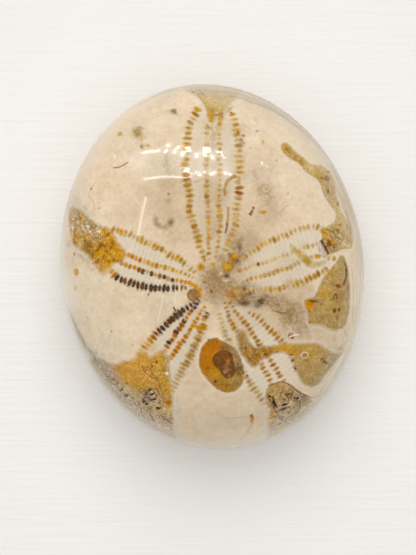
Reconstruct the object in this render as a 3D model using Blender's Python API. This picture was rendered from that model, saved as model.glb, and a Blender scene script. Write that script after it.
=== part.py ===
"""A polished fossil sand dollar: one stone, a low dome on a flat, slightly hollow base.

The origin is on the table under the middle of the stone. +Z is up, and +Y points
from the top of the dome along the front petal, the front of the animal.
"""

import math

import bmesh
import bpy
from mathutils import Matrix, Vector

# Driving sizes, in metres
LENGTH = 0.0500  # longest way across the stone
WIDTH = 0.0414  # across it, at right angles to that
HEIGHT = 0.0220
GIRTH_HEIGHT = 0.0085  # the level where the stone is widest
LEAN_DEG = 9.0  # how far the longest way leans from the front petal, to the left

# The dome: its top stands behind the middle, and its sides are a little fuller than an ellipse
TOP_SHIFT = Vector((0.0003, -0.0024))
TOP_SHIFT_POWER = 1.4
DOME_FULLNESS = 2.15
FLANK_FULLNESS = 2.2

# The base, as shares of the outline's radius: it rests on a flat ring round a shallow dish
RING_OUTER = 0.70
RING_INNER = 0.40
DISH_DEPTH = 0.0009

# The mouth: a five-sided pit that narrows inwards, in the middle of the dish
MOUTH_RADIUS = 0.0026
MOUTH_FLOOR_RADIUS = 0.0014
MOUTH_DEPTH = 0.0022
MOUTH_CORNER_ROUND = 0.0006

# The vent: an oval hollow near the back edge of the base
VENT_CENTRE = Vector((0.0, -0.0172))
VENT_HALF_SIZES = Vector((0.0013, 0.0019, 0.0009))

# How finely the curved surface is divided
SEGMENTS = 72
DOME_RINGS = 18
FLANK_RINGS = 9
RING_RINGS = 3
DISH_RINGS = 4

STONE_COLOUR = (0.72, 0.60, 0.45, 1.0)
STONE_ROUGHNESS = 0.18


def clear_scene():
    for obj in list(bpy.data.objects):
        bpy.data.objects.remove(obj)


def arc(turn, fullness):
    """A quarter of a superellipse: (across, up) from (1, 0) at turn 0 to (0, 1) at turn 1."""
    angle = turn * math.pi / 2
    return math.cos(angle) ** (2 / fullness), math.sin(angle) ** (2 / fullness)


def profile():
    """The stone's half outline, top to bottom, as (share of the radius, height) pairs."""
    points = [(0.0, HEIGHT)]
    for step in range(1, DOME_RINGS + 1):
        across, up = arc(1 - step / DOME_RINGS, DOME_FULLNESS)
        points.append((across, GIRTH_HEIGHT + (HEIGHT - GIRTH_HEIGHT) * up))
    for step in range(1, FLANK_RINGS + 1):
        across, down = arc(step / FLANK_RINGS, FLANK_FULLNESS)
        points.append((RING_OUTER + (1 - RING_OUTER) * across, GIRTH_HEIGHT * (1 - down)))
    for step in range(1, RING_RINGS + 1):
        points.append((RING_OUTER + (RING_INNER - RING_OUTER) * step / RING_RINGS, 0.0))
    for step in range(1, DISH_RINGS):
        inwards = step / DISH_RINGS
        rise = DISH_DEPTH * (1 - math.cos(math.pi * inwards)) / 2
        points.append((RING_INNER * (1 - inwards), rise))
    points.append((0.0, DISH_DEPTH))
    return points


def spun_body(points):
    """The half outline spun round Z at a radius of 1, closed at both poles."""
    body = bmesh.new()
    line = [body.verts.new((share, 0.0, height)) for share, height in points]
    edges = [body.edges.new(pair) for pair in zip(line, line[1:])]
    bmesh.ops.spin(
        body,
        geom=line + edges,
        cent=(0.0, 0.0, 0.0),
        axis=(0.0, 0.0, 1.0),
        angle=2 * math.pi,
        steps=SEGMENTS,
        use_merge=True,
    )
    bmesh.ops.remove_doubles(body, verts=body.verts, dist=1e-6)
    bmesh.ops.recalc_face_normals(body, faces=body.faces)
    return body


def stretch_to_outline(body):
    """Gives the round body its oval outline, and moves the top of the dome back."""
    oval = (
        Matrix.Rotation(math.radians(LEAN_DEG), 4, "Z")
        @ Matrix.Diagonal((WIDTH / 2, LENGTH / 2, 1.0, 1.0))
    )
    for vertex in body.verts:
        vertex.co = oval @ vertex.co
        rise = (vertex.co.z - GIRTH_HEIGHT) / (HEIGHT - GIRTH_HEIGHT)
        if rise > 0:
            vertex.co.xy += TOP_SHIFT * rise**TOP_SHIFT_POWER


def stone_material():
    material = bpy.data.materials.new("polished_calcite")
    material.use_nodes = True
    shader = material.node_tree.nodes["Principled BSDF"]
    shader.inputs["Base Color"].default_value = STONE_COLOUR
    shader.inputs["Roughness"].default_value = STONE_ROUGHNESS
    shader.inputs["Metallic"].default_value = 0.0
    return material


def add_object(name, shape):
    """A scene object from a bmesh, which is freed."""
    mesh = bpy.data.meshes.new(name)
    shape.to_mesh(mesh)
    shape.free()
    obj = bpy.data.objects.new(name, mesh)
    bpy.context.scene.collection.objects.link(obj)
    return obj


def add_cutter(name, shape):
    """A helper that is cut away from the stone and isn't part of it."""
    cutter = add_object(name, shape)
    cutter.hide_render = True
    cutter.display_type = "WIRE"
    return cutter


def mouth_cutter():
    """A five-sided plug with rounded corners, wide end down, that reaches below the base."""
    plug = bmesh.new()
    bmesh.ops.create_cone(
        plug,
        segments=5,
        radius1=MOUTH_RADIUS + (MOUTH_RADIUS - MOUTH_FLOOR_RADIUS),
        radius2=MOUTH_FLOOR_RADIUS,
        depth=2 * MOUTH_DEPTH,
        cap_ends=True,
        matrix=Matrix.Rotation(math.pi / 2, 4, "Z"),
    )
    upright = [edge for edge in plug.edges if abs(edge.verts[0].co.z - edge.verts[1].co.z) > 1e-5]
    bmesh.ops.bevel(
        plug,
        geom=upright,
        offset=MOUTH_CORNER_ROUND,
        segments=3,
        affect="EDGES",
        profile=0.5,
    )
    return add_cutter("mouth_cutter", plug)


def vent_cutter():
    """An egg-shaped helper, half of it in the base."""
    egg = bmesh.new()
    bmesh.ops.create_uvsphere(
        egg,
        u_segments=20,
        v_segments=10,
        radius=1.0,
        matrix=Matrix.Diagonal((*VENT_HALF_SIZES, 1.0)),
    )
    cutter = add_cutter("vent_cutter", egg)
    cutter.location = (VENT_CENTRE.x, VENT_CENTRE.y, 0.0)
    return cutter


def cut_away(stone, cutter):
    cut = stone.modifiers.new(cutter.name, "BOOLEAN")
    cut.operation = "DIFFERENCE"
    cut.solver = "EXACT"
    cut.object = cutter


def build_stone():
    body = spun_body(profile())
    stretch_to_outline(body)
    stone = add_object("sand_dollar", body)
    stone.data.materials.append(stone_material())
    stone.data.shade_smooth()
    stone.data.set_sharp_from_angle(angle=math.radians(40))
    cut_away(stone, mouth_cutter())
    cut_away(stone, vent_cutter())


clear_scene()
build_stone()
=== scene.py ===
"""A polished fossil sand dollar on pale paper, seen from straight above."""

import math
import random

import bpy
import numpy as np
from mathutils import Matrix, Vector


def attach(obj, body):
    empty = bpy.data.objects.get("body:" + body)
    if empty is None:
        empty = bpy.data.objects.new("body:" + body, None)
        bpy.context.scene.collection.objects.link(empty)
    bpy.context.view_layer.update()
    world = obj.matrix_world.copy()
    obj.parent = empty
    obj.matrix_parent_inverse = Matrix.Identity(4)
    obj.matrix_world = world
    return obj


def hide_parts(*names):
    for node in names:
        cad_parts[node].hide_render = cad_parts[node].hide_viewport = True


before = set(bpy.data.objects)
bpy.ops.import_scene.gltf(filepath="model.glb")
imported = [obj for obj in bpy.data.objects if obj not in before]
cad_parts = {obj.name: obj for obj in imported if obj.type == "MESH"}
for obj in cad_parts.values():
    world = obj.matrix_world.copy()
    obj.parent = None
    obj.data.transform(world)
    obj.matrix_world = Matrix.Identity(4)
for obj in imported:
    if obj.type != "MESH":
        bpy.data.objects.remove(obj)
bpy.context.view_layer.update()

# The stone's sizes in metres, as in the part
LENGTH = 0.0500
WIDTH = 0.0414
HEIGHT = 0.0220
GIRTH_HEIGHT = 0.0085
LEAN = math.radians(9.0)
TOP_SHIFT = np.array((0.0003, -0.0024))
TOP_SHIFT_POWER = 1.4
DOME_FULLNESS = 2.15
FLANK_FULLNESS = 2.2
RING_OUTER = 0.70
RING_INNER = 0.40
DISH_DEPTH = 0.0009
MOUTH_RADIUS = 0.0026
MOUTH_FLOOR_RADIUS = 0.0014
MOUTH_DEPTH = 0.0022
VENT_CENTRE = np.array((0.0, -0.0172))
VENT_HALF_SIZES = (0.0013, 0.0019, 0.0009)
SNUG = 0.9985  # the smooth stone is drawn in this much, to stay inside the faceted one
DOME_POINTS = 1600  # the points of the profile from the top down to the girth
BASE_LEVEL = GIRTH_HEIGHT * 0.4  # the marks of the base lie below this height

# How deep the marks lie below the polish
PORE_DEPTH = 0.000005
GROOVE_DEPTH = 0.000002
HOLLOW_DEPTH = 0.000005

# How the infill runs out down the side of the stone: the height where it starts to, how
# fast its outline draws in, straight and squared, and how far it takes to blur and to
# break up
SIDE_LEVEL = GIRTH_HEIGHT + 0.0022
SIDE_DRAW, SIDE_DRAW_SQUARED = 0.7, 300
SIDE_BLUR = 0.0015
SIDE_FADE = 0.0018

# The camera looks straight down, and the outline fills the frame as in the photograph
PHOTO_WIDTH, PHOTO_HEIGHT = 416, 555
OUTLINE_CENTRE = (212.3, 265.6)
PIXELS_PER_METRE = 7305.0
LENS = 135.0
SENSOR = 36.0
FOCAL = LENS / SENSOR * PHOTO_HEIGHT
CAMERA_HEIGHT = GIRTH_HEIGHT + FOCAL / PIXELS_PER_METRE
CAMERA_X = (PHOTO_WIDTH / 2 - OUTLINE_CENTRE[0]) / PIXELS_PER_METRE
CAMERA_Y = (OUTLINE_CENTRE[1] - PHOTO_HEIGHT / 2) / PIXELS_PER_METRE
PIXEL = 1 / PIXELS_PER_METRE

SHEEN = 0.0045  # how much light the polish adds to every colour

dice = random.Random(20)


# The shape of the stone

def superellipse(turn, fullness):
    angle = turn * math.pi / 2
    return np.cos(angle) ** (2 / fullness), np.sin(angle) ** (2 / fullness)


def stone_profile():
    """The half outline, top to middle of the base, as shares of the radius and heights."""
    turn = np.linspace(0, 1, DOME_POINTS)
    dome_share, dome_rise = superellipse(1 - turn, DOME_FULLNESS)
    flank_share, flank_drop = superellipse(turn[1:], FLANK_FULLNESS)
    ring_share = np.linspace(RING_OUTER, RING_INNER, 300)[1:]
    inwards = np.linspace(0, 1, 400)[1:]
    share = np.concatenate((
        dome_share,
        RING_OUTER + (1 - RING_OUTER) * flank_share,
        ring_share,
        RING_INNER * (1 - inwards),
    ))
    height = np.concatenate((
        GIRTH_HEIGHT + (HEIGHT - GIRTH_HEIGHT) * dome_rise,
        GIRTH_HEIGHT * (1 - flank_drop),
        np.zeros_like(ring_share),
        DISH_DEPTH * (1 - np.cos(math.pi * inwards)) / 2,
    ))
    return np.clip(share, 0, 1), height


SHARES, HEIGHTS = stone_profile()
MEAN_RADIUS = (LENGTH + WIDTH) / 4
# Lengths along the profile, in shares of the mean radius: from point to point, from the top
# to each point, and from the top to the levels where the girth and the side begin
STEPS = np.hypot(np.diff(SHARES), np.diff(HEIGHTS) / MEAN_RADIUS)
ARC = np.concatenate(([0], np.cumsum(STEPS)))
GIRTH_ARC, SIDE_ARC = np.interp(
    (-GIRTH_HEIGHT, -SIDE_LEVEL), -HEIGHTS[:DOME_POINTS], ARC[:DOME_POINTS]
)
TURN = np.array(((math.cos(LEAN), -math.sin(LEAN)), (math.sin(LEAN), math.cos(LEAN))))
OVAL = TURN @ np.diag((WIDTH / 2, LENGTH / 2))


def top_shift(height):
    """How far the middle of the outline has moved towards the top at each height."""
    rise = np.clip((height - GIRTH_HEIGHT) / (HEIGHT - GIRTH_HEIGHT), 0, 1)
    return rise[:, None] ** TOP_SHIFT_POWER * TOP_SHIFT


def find_on_stone(pixels):
    """Finds points of the photograph on the stone, as the camera sees them.

    Returns their places in the unit outline, their shares of its radius and their heights.
    """
    pixels = np.asarray(pixels, float).reshape(-1, 2)
    height = np.full(len(pixels), GIRTH_HEIGHT)
    # Each round goes half way to the height that the stone has at the place found so far
    for _ in range(40):
        reach = ((CAMERA_HEIGHT - height) / FOCAL)[:, None]
        across = (pixels - (PHOTO_WIDTH / 2, PHOTO_HEIGHT / 2)) * (1, -1) * reach
        plan = across + (CAMERA_X, CAMERA_Y) - top_shift(height)
        unit = plan @ np.linalg.inv(OVAL).T
        share = np.hypot(unit[:, 0], unit[:, 1])
        found = np.interp(share, SHARES[:DOME_POINTS], HEIGHTS[:DOME_POINTS])
        height = (height + found) / 2
    return unit, share, height


def on_skin(pixels):
    """Lays points of the photograph on the stone, and returns them on its unrolled skin.

    The unrolled skin is a flat chart round the top of the dome, in metres. A point outside
    the outline carries on down the side of the stone.
    """
    unit, share, _ = find_on_stone(pixels)
    arc = np.interp(share, SHARES[:DOME_POINTS], ARC[:DOME_POINTS]) + np.clip(share - 1, 0, None)
    return (unit * (arc / np.maximum(share, 1e-9))[:, None]) @ OVAL.T


def mirrored_way(pixel):
    """The place the camera sees at a point of the photograph, and the way it mirrors there."""
    x, y = pixel
    unit, _, height = find_on_stone([(x, y), (x - 1, y), (x + 1, y), (x, y - 1), (x, y + 1)])
    spots = np.column_stack((unit @ OVAL.T + top_shift(height), height))
    normal = np.cross(spots[2] - spots[1], spots[3] - spots[4])
    normal /= np.linalg.norm(normal)
    look = spots[0] - (CAMERA_X, CAMERA_Y, CAMERA_HEIGHT)
    look /= np.linalg.norm(look)
    return spots[0], look - 2 * (look @ normal) * normal


def mouth_and_vent(spot, height):
    """How far the base is hollowed out at each point, for the mouth pit and the vent."""
    angle = np.arctan2(spot[:, 1], spot[:, 0]) - math.pi / 2
    corner = np.abs((angle / (2 * math.pi / 5) + 0.5) % 1 - 0.5) * 2
    roundness = 0.84 + 0.12 * (1 - corner) ** 1.5
    radius = np.hypot(spot[:, 0], spot[:, 1])
    slope = (MOUTH_RADIUS * roundness - radius) / (MOUTH_RADIUS - MOUTH_FLOOR_RADIUS)
    slope = np.clip(slope, 0, 1)
    mouth = (MOUTH_DEPTH - DISH_DEPTH) * slope ** 2 * (3 - 2 * slope)
    off = (spot - VENT_CENTRE) / VENT_HALF_SIZES[:2]
    vent = VENT_HALF_SIZES[2] * np.sqrt(np.clip(1 - (off ** 2).sum(axis=1), 0, 1))
    return np.where(height < GIRTH_HEIGHT / 2, mouth + vent, 0)


def rough_block():
    """A block divided finely enough to carry the markings."""
    bpy.ops.object.select_all(action="DESELECT")
    bpy.ops.mesh.primitive_cube_add(size=2)
    block = bpy.context.object
    block.name = "polished_stone"
    block.data.name = "polished_stone"
    bpy.ops.object.mode_set(mode="EDIT")
    bpy.ops.mesh.select_all(action="SELECT")
    # 3 times 43 squares along each edge
    bpy.ops.mesh.subdivide(number_cuts=2)
    bpy.ops.mesh.subdivide(number_cuts=42)
    bpy.ops.mesh.select_all(action="DESELECT")
    bpy.ops.object.mode_set(mode="OBJECT")
    return block


def grind_to_shape(block):
    """Turns the block into the stone. Returns each point's place, and its place on the skin."""
    mesh = block.data
    corners = np.empty(len(mesh.vertices) * 3)
    mesh.vertices.foreach_get("co", corners)
    way = np.tan(corners.reshape(-1, 3) * math.pi / 4)
    way /= np.linalg.norm(way, axis=1)[:, None]
    # Equal areas of the ball go to equal areas of the stone, with most on the side that shows
    weight = np.where(HEIGHTS[1:] > GIRTH_HEIGHT * 0.6, 1.0, 0.3)
    area = np.concatenate(([0], np.cumsum(weight * STEPS * (SHARES[1:] + SHARES[:-1]))))
    arc = np.interp((1 - way[:, 2]) / 2, area / area[-1], ARC)
    share = np.interp(arc, ARC, SHARES)
    height = np.interp(arc, ARC, HEIGHTS)
    flat = np.hypot(way[:, 0], way[:, 1])
    unit = way[:, :2] / np.maximum(flat, 1e-9)[:, None]
    spot = (unit * share[:, None] * SNUG) @ OVAL.T
    skin = (unit * arc[:, None]) @ OVAL.T
    height = height + mouth_and_vent(spot, height)
    place = np.column_stack((spot + top_shift(height) * (arc < GIRTH_ARC)[:, None], height))
    mesh.vertices.foreach_set("co", place.ravel())
    mesh.update()
    return place, skin


# Markings, in pixels of the photograph

# The colours of the stone's parts
SHADES = {
    "cream": (231, 212, 184),
    "pearl": (228, 211, 184),
    "fog": (212, 202, 183),
    "glow": (244, 230, 208),
    "shine": (254, 242, 222),
    "peach": (237, 212, 181),
    "sand": (222, 200, 171),
    "buff": (206, 184, 154),
    "blush": (206, 182, 152),
    "dun": (191, 166, 134),
    "drab": (166, 144, 110),
    "smoke": (116, 100, 82),
    "mud": (142, 110, 66),
    "haze": (209, 192, 165),
    "sepia": (160, 131, 88),
    "ash": (188, 172, 148),
    "stone_grey": (176, 166, 150),
    "milk": (238, 232, 216),
    "chalk": (226, 216, 198),
    "tan": (192, 164, 116),
    "straw": (208, 180, 118),
    "flax": (204, 180, 128),
    "wheat": (192, 157, 87),
    "brass": (182, 141, 56),
    "bronze": (168, 122, 44),
    "khaki": (164, 131, 72),
    "caramel": (184, 134, 74),
    "rose": (166, 128, 98),
    "chestnut": (126, 78, 36),
    "olive": (184, 154, 96),
    "moss": (184, 166, 130),
    "honey": (200, 152, 52),
    "gold": (206, 150, 20),
    "ochre": (174, 122, 12),
    "amber": (196, 136, 2),
    "copper": (182, 114, 2),
    "rust": (144, 88, 10),
    "umber": (122, 82, 34),
    "cocoa": (104, 68, 28),
    "bark": (64, 30, 2),
    "soot": (42, 24, 6),
    "slate": (78, 70, 56),
    "char": (102, 80, 50),
    "pewter": (142, 136, 122),
    "saffron": (212, 158, 68),
    "shell": (244, 224, 200),
    "parchment": (200, 178, 142),
}


def tone(name, gain=1.0):
    """A named colour as the stone's own, in linear light, without the sheen of the polish."""
    seen = np.array(SHADES[name]) / 255
    light = np.where(seen <= 0.04045, seen / 12.92, ((seen + 0.055) / 1.055) ** 2.4)
    return np.clip(light - SHEEN, 0.0008, 1) * gain


# Each row of pores: its line from the middle outwards, the pitch, the length and width of a
# slit, its colours near the middle, half way and far out, and the odd pores out by number
ROWS = {
    "front_left_outer": (
        [(206, 261), (201, 251), (198, 240), (195.6, 229), (191.8, 219), (189.5, 209),
         (189.8, 201), (188.6, 188), (186, 178), (185.6, 163), (186.6, 150), (187.6, 135),
         (189, 126), (193, 119), (198, 109)],
        5.3, 8.0, 3.9, ("brass", "brass", "wheat"),
        {7: "bronze", 17: "bronze", 16: "bronze", 29: "bronze", 30: "honey"}),
    "front_left_inner": (
        [(209.6, 259), (208.6, 248), (208.6, 233), (208.5, 213), (207, 193), (207, 180),
         (206.5, 160), (206.8, 140), (208, 128)],
        5.2, 6.0, 4.1, ("brass", "wheat", "flax"), {12: "bronze", 24: "brass", 25: "wheat"}),
    "front_right_inner": (
        [(216, 257), (218, 247), (219, 237), (219.8, 226), (219.5, 215), (219.2, 195),
         (219.5, 180), (219.5, 150), (219, 130), (220, 118)],
        5.2, 5.8, 4.0, ("brass", "wheat", "flax"), {2: "bronze", 5: "bronze", 26: "honey"}),
    "front_right_outer": (
        [(222, 260), (226, 250), (229.5, 240), (233.8, 229), (236, 218), (236.5, 210),
         (238.5, 199), (239.5, 189), (238, 181), (240.5, 172), (239.6, 162), (239, 150),
         (237, 138), (236, 126), (233, 115), (229, 110)],
        5.3, 8.2, 3.7, ("brass", "wheat", "wheat"),
        {13: "rust", 14: "bronze", 22: "bronze", 26: "brass", 28: "brass", 30: "honey"}),
    "left_upper_outer": (
        [(194, 272), (186, 265), (178, 259), (168, 254), (160, 248.5), (151, 244),
         (142.5, 240), (134, 237), (126, 233), (118, 231), (113, 230)],
        4.3, 7.0, 3.6, ("brass", "brass", "brass"),
        {2: "flax", 5: "honey", 8: "flax", 11: "honey", 12: "straw", 16: "flax", 19: "gold"}),
    "left_upper_inner": (
        [(193, 277.6), (185, 274), (178, 271), (169, 268), (160, 266), (150, 263.5),
         (141, 260), (132, 257), (124, 253.5)],
        4.2, 5.0, 3.6, ("honey", "honey", "copper"), {9: "copper", 13: "copper", 12: "straw"}),
    "left_lower_inner": (
        [(190, 283), (180, 281), (171.5, 279.5), (163, 277), (154, 274.5), (145, 272),
         (140, 270), (132, 267), (122, 263)],
        4.4, 5.0, 3.7, ("copper", "rust", "copper"),
        {3: "amber", 4: "bark", 5: "brass", 6: "bark", 7: "rust", 8: "straw", 9: "bark",
         10: "brass", 11: "bark", 12: "rust", 13: "amber", 14: "copper", 15: "amber"}),
    "left_lower_outer": (
        [(186, 288), (175, 288.4), (164, 288), (153, 288), (144, 286.5), (134, 284),
         (126, 281), (117, 278), (111, 271.5)],
        4.5, 7.2, 3.4, ("bark", "bark", "umber"),
        {0: "rust", 1: "rust", 14: "umber", 15: "bark", 16: "soot", 17: "copper",
         18: "amber"}),
    "back_left_outer": (
        [(198, 300), (193, 304), (187, 307.5), (178.5, 314), (171, 320), (164, 326.5),
         (157, 333), (151, 340), (146, 346), (139, 355)],
        4.6, 7.8, 3.5, ("bark", "bark", "honey"),
        {10: "soot", 11: "bark", 12: "rust", 13: "rust", 14: "amber", 15: "honey",
         16: "amber", 17: "honey", 18: "honey"}),
    "back_left_inner": (
        [(197, 304), (193, 309), (188, 316), (183, 323), (178.5, 330), (173, 338),
         (168, 345), (162, 354)],
        4.4, 5.4, 3.9, ("copper", "rust", "copper"),
        {0: "soot", 1: "bark", 2: "rust", 4: "copper", 5: "bark", 8: "bark", 9: "copper",
         11: "soot"}),
    "back_right_inner": (
        [(204, 307), (197, 318.5), (190.6, 329.5), (185.5, 338), (180, 345), (175, 352),
         (167.6, 362)],
        4.5, 5.2, 3.8, ("amber", "copper", "copper"), {7: "brass"}),
    "back_right_outer": (
        [(207, 313), (204, 322), (199.5, 335), (195, 346), (191, 355), (186, 364),
         (181, 372), (176, 382), (171, 390)],
        4.1, 8.2, 3.7, ("ochre", "khaki", "brass"), {0: "bark", 1: "rust", 2: "brass"}),
    "right_upper_outer": (
        [(243, 259), (252, 252.5), (261, 246), (272, 240), (285, 235), (298, 229.5),
         (312, 226), (322, 229)],
        4.6, 6.4, 3.4, ("brass", "wheat", "brass"), {1: "bronze", 4: "ochre", 8: "bronze"}),
    "right_upper_inner": (
        [(242, 271), (249, 267), (258, 264), (272.5, 260), (282, 256.5), (291, 253),
         (304, 248.5), (317, 244)],
        4.5, 4.8, 3.5, ("wheat", "flax", "wheat"), {1: "bronze", 4: "rust"}),
    "right_lower_inner": (
        [(243, 282), (250, 279), (260, 277), (269, 274), (279, 271), (288, 268),
         (296, 264), (304, 260), (318, 256), (334, 258)],
        4.5, 5.4, 3.6, ("brass", "wheat", "brass"), {1: "ochre", 2: "ochre"}),
    "right_lower_outer": (
        [(247, 289.5), (261, 289.5), (272, 289.5), (283, 288), (293, 285.5), (302.5, 282),
         (311, 278), (319, 274), (327, 269.5)],
        4.7, 6.6, 3.6, ("wheat", "brass", "bronze"), {7: "ochre", 8: "brass", 17: "gold"}),
    "side_right_outer": (
        [(249.6, 313), (257, 317), (264, 323.5), (271.5, 331), (278, 338), (286, 348),
         (292, 358), (297, 370)],
        4.8, 6.4, 3.4, ("bronze", "bronze", "bronze"), {12: "bark"}),
    "side_right_inner": (
        [(230, 303), (235, 311), (241, 318), (247, 326), (254, 336), (262, 348),
         (270, 360), (277, 371), (283, 381)],
        4.7, 5.6, 3.5, ("bronze", "bronze", "bronze"), {}),
    "side_left_inner": (
        [(225, 303), (227.5, 313), (233, 326), (242, 340), (252, 353), (260.5, 363),
         (266.5, 374), (272, 384)],
        4.6, 5.4, 3.4, ("bronze", "bronze", "bronze"), {}),
    "side_left_outer": (
        [(219, 314), (222, 324), (226, 335), (232, 349), (239, 363), (246, 377),
         (254, 389), (262, 399), (268, 407)],
        4.6, 7.4, 3.9, ("wheat", "khaki", "wheat"), {}),
}

# The five petals: their four rows in order round the petal, and how white the stone is there
PETALS = {
    "front": (("front_left_outer", "front_left_inner", "front_right_inner",
               "front_right_outer"), 0.40),
    "left": (("left_lower_outer", "left_lower_inner", "left_upper_inner",
              "left_upper_outer"), 0.90),
    "back_left": (("back_left_outer", "back_left_inner", "back_right_inner",
                   "back_right_outer"), 0.75),
    "right": (("right_upper_outer", "right_upper_inner", "right_lower_inner",
               "right_lower_outer"), 0.80),
    "side": (("side_right_outer", "side_right_inner", "side_left_inner",
              "side_left_outer"), 0.75),
}

# Infilled hollows: an outline and a colour
HOLLOWS = [
    ("left_end", [(70, 207), (76, 208), (82, 211.5), (92, 220), (99, 225), (104.6, 227),
                  (109, 228.6), (113.6, 235.7), (119, 243.8), (124.7, 251.8), (124, 260),
                  (116, 263), (110, 268), (103.4, 276), (97, 268.4), (91, 260.6), (87, 254.6),
                  (80, 250), (73.4, 244.5), (71, 238), (69, 227), (68, 215)], "ochre"),
    ("back_left_end", [(138, 354), (146, 352), (150, 357), (158, 352), (164, 351),
                       (168, 357), (169.5, 368), (171, 380), (172, 392), (172.4, 404),
                       (172.6, 416), (173, 428), (175, 442), (160, 436), (143, 426),
                       (125, 412), (108, 394), (95, 377), (88, 363), (92, 357),
                       (98, 358), (105, 361), (112, 364), (118, 364), (124, 361),
                       (133, 359.5)], "tan"),
    ("side_end", [(266.5, 391), (271, 385.5), (281, 381.5), (291.5, 385.5), (300, 391.5),
                  (309, 397), (312, 401), (314, 407), (304, 416), (292, 424), (282, 424),
                  (274, 416), (268, 406), (266, 399)], "tan"),
    ("side_end_low", [(272, 408), (290, 400), (306, 402), (318, 407), (300, 427),
                      (284, 438), (268, 447), (268, 434), (269, 420)], "tan"),
    ("band_end", [(238, 333), (244, 331), (249, 341), (256, 347), (266, 347), (270, 351),
                  (266, 357), (260, 362), (255, 368), (249, 364), (243, 357), (238, 347)],
     "bronze"),
    ("side_band", [(250, 349), (256, 348.5), (264, 347), (275, 345.5), (283, 343.5),
                   (297, 344), (311, 343.5), (320, 344.5), (326, 349), (333, 352.5),
                   (341, 353), (345, 352), (339, 358), (329, 371), (321, 382), (313, 387),
                   (305, 385), (299, 378), (295, 367), (292, 358), (285, 353),
                   (277, 353), (271, 356), (264, 359), (256, 362), (249, 358)], "olive"),
    ("right_flank", [(342, 255), (347, 264), (349.6, 281), (350, 303), (348, 318),
                     (344, 327), (337, 330), (328, 328), (319, 324.6), (310, 323),
                     (307.5, 312), (305, 300), (313, 298), (318, 290), (322, 280),
                     (327, 273), (335, 264)], "olive"),
    ("right_stalk", [(281, 144.5), (287, 143), (291.4, 147), (295, 151), (301, 155.6),
                     (307, 160.6), (313, 164.6), (322, 165.6), (327, 169.5), (331.5, 174),
                     (334.4, 182), (335.4, 190), (337, 197), (339, 204), (341, 211),
                     (347, 220), (351, 230), (353, 240), (351, 248), (344, 249),
                     (338, 251), (330, 255), (322, 257), (318.6, 250), (318, 244),
                     (322, 238), (322, 229), (328, 226), (334.6, 221), (335.6, 213),
                     (331, 206), (326, 198), (322, 190), (320, 182), (314, 177),
                     (308, 173), (303.5, 169.6), (299, 163.5), (291, 159), (284, 153)],
     "flax"),
    ("right_blot", [(290, 243.6), (296, 247.6), (302, 251), (307.4, 255.6), (311, 260.6),
                    (315, 262.6), (321, 261.6), (326, 260.6), (325, 264), (319, 267),
                    (312, 268), (306.4, 265.6), (302, 260.4), (297, 255.4), (291.4, 249.6)],
     "flax"),
    ("front_end", [(184, 82), (198, 76), (214, 73), (230, 75), (242, 82), (241, 92),
                   (236, 98), (231, 104), (225, 112), (223, 120), (219, 113), (216.4, 112),
                   (214, 121), (209, 121), (206.6, 110), (203, 102), (198, 97),
                   (190, 92), (184, 89)], "flax"),
    ("eye", [(215.5, 337.8), (207, 341.3), (201, 349), (199.2, 361), (200.3, 369.5),
             (204.2, 375.8), (211.2, 383.6), (218.3, 390), (225.3, 392.4), (232.4, 392),
             (238, 389.2), (242.2, 383.6), (243.7, 378.7), (243.8, 372), (242.6, 365),
             (240.4, 358), (237, 351.5), (232.4, 347), (225.3, 342.7),
             (220.4, 339.9)], "ochre"),
]

# The infill of each hollow: how coarse it is, from 0 for smooth to 1 for loose crystals, and
# how soft its edge is, from 0 for a clean edge to 1 for one that fades out
INFILL = {
    "left_end": (0.16, 0.8), "back_left_end": (0.15, 0.75), "side_end": (0.28, 0.3),
    "side_end_low": (0.40, 0.9), "band_end": (0.20, 0.8), "side_band": (0.15, 0.6),
    "right_flank": (0.18, 0.35), "right_stalk": (0.20, 0.25), "right_blot": (0.1, 0.4),
    "front_end": (0.12, 0.9), "eye": (0.08, 0.1),
}

# Where the infill is coarser: a place, how much and how far
COARSER = [
    (76, 222, 0.6, 7), (84, 227, 0.7, 6), (93, 229, 0.7, 6), (98, 237, 0.6, 4),
    (72, 234, 0.6, 5), (95, 262, 0.2, 6), (150, 396, 0.5, 9), (160, 374, 0.3, 8),
    (158, 410, 0.3, 8), (240, 370, 0.45, 6), (234, 384, 0.25, 7), (296, 400, 0.3, 8),
    (326, 240, 0.4, 6), (255, 354, 0.3, 8),
    (110, 382, 0.35, 8), (128, 402, 0.35, 8), (150, 416, 0.3, 8),
]

# Where worm-like dark and pale lines run through the infill: a place, how strong and how far
WORMS = [
    (100, 366, 0.8, 5), (108, 376, 1.0, 6), (118, 388, 1.0, 6), (128, 398, 1.0, 6),
    (138, 406, 1.0, 6), (148, 398, 1.0, 7), (150, 412, 1.0, 6), (160, 404, 0.9, 6),
    (164, 418, 1.0, 7), (156, 386, 0.5, 6), (162, 372, 0.4, 5), (276, 395, 0.6, 6),
    (284, 404, 0.8, 7), (297, 402, 0.9, 6), (278, 414, 0.9, 6), (290, 416, 0.8, 6),
    (274, 430, 0.7, 5), (76, 222, 0.6, 6), (84, 230, 0.7, 6), (92, 246, 0.8, 7),
    (104, 244, 0.8, 7), (112, 254, 0.6, 7), (98, 262, 0.7, 6), (144, 376, 0.5, 7),
    (103, 376, 1.0, 5), (112, 388, 1.0, 5), (121, 399, 1.0, 5),
    (131, 409, 1.0, 5), (143, 418, 1.0, 5), (155, 426, 1.0, 5), (166, 431, 0.9, 5),
    (214, 92, 0.3, 8), (195, 90, 0.5, 7), (232, 92, 0.4, 6), (338, 236, 0.7, 7),
    (330, 246, 0.5, 5), (306, 386, 0.4, 5),
]

# The dark nucleus in the eye-like ring
NUCLEUS = [(216.2, 354), (221, 351.2), (226.7, 351.2), (231, 354), (232.4, 359.6),
           (233.8, 365.3), (235.2, 370.9), (232.4, 375.8), (227.4, 378), (223.2, 375.1),
           (219.7, 369.5), (215.4, 366), (213, 361), (213.7, 356.8)]

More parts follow.
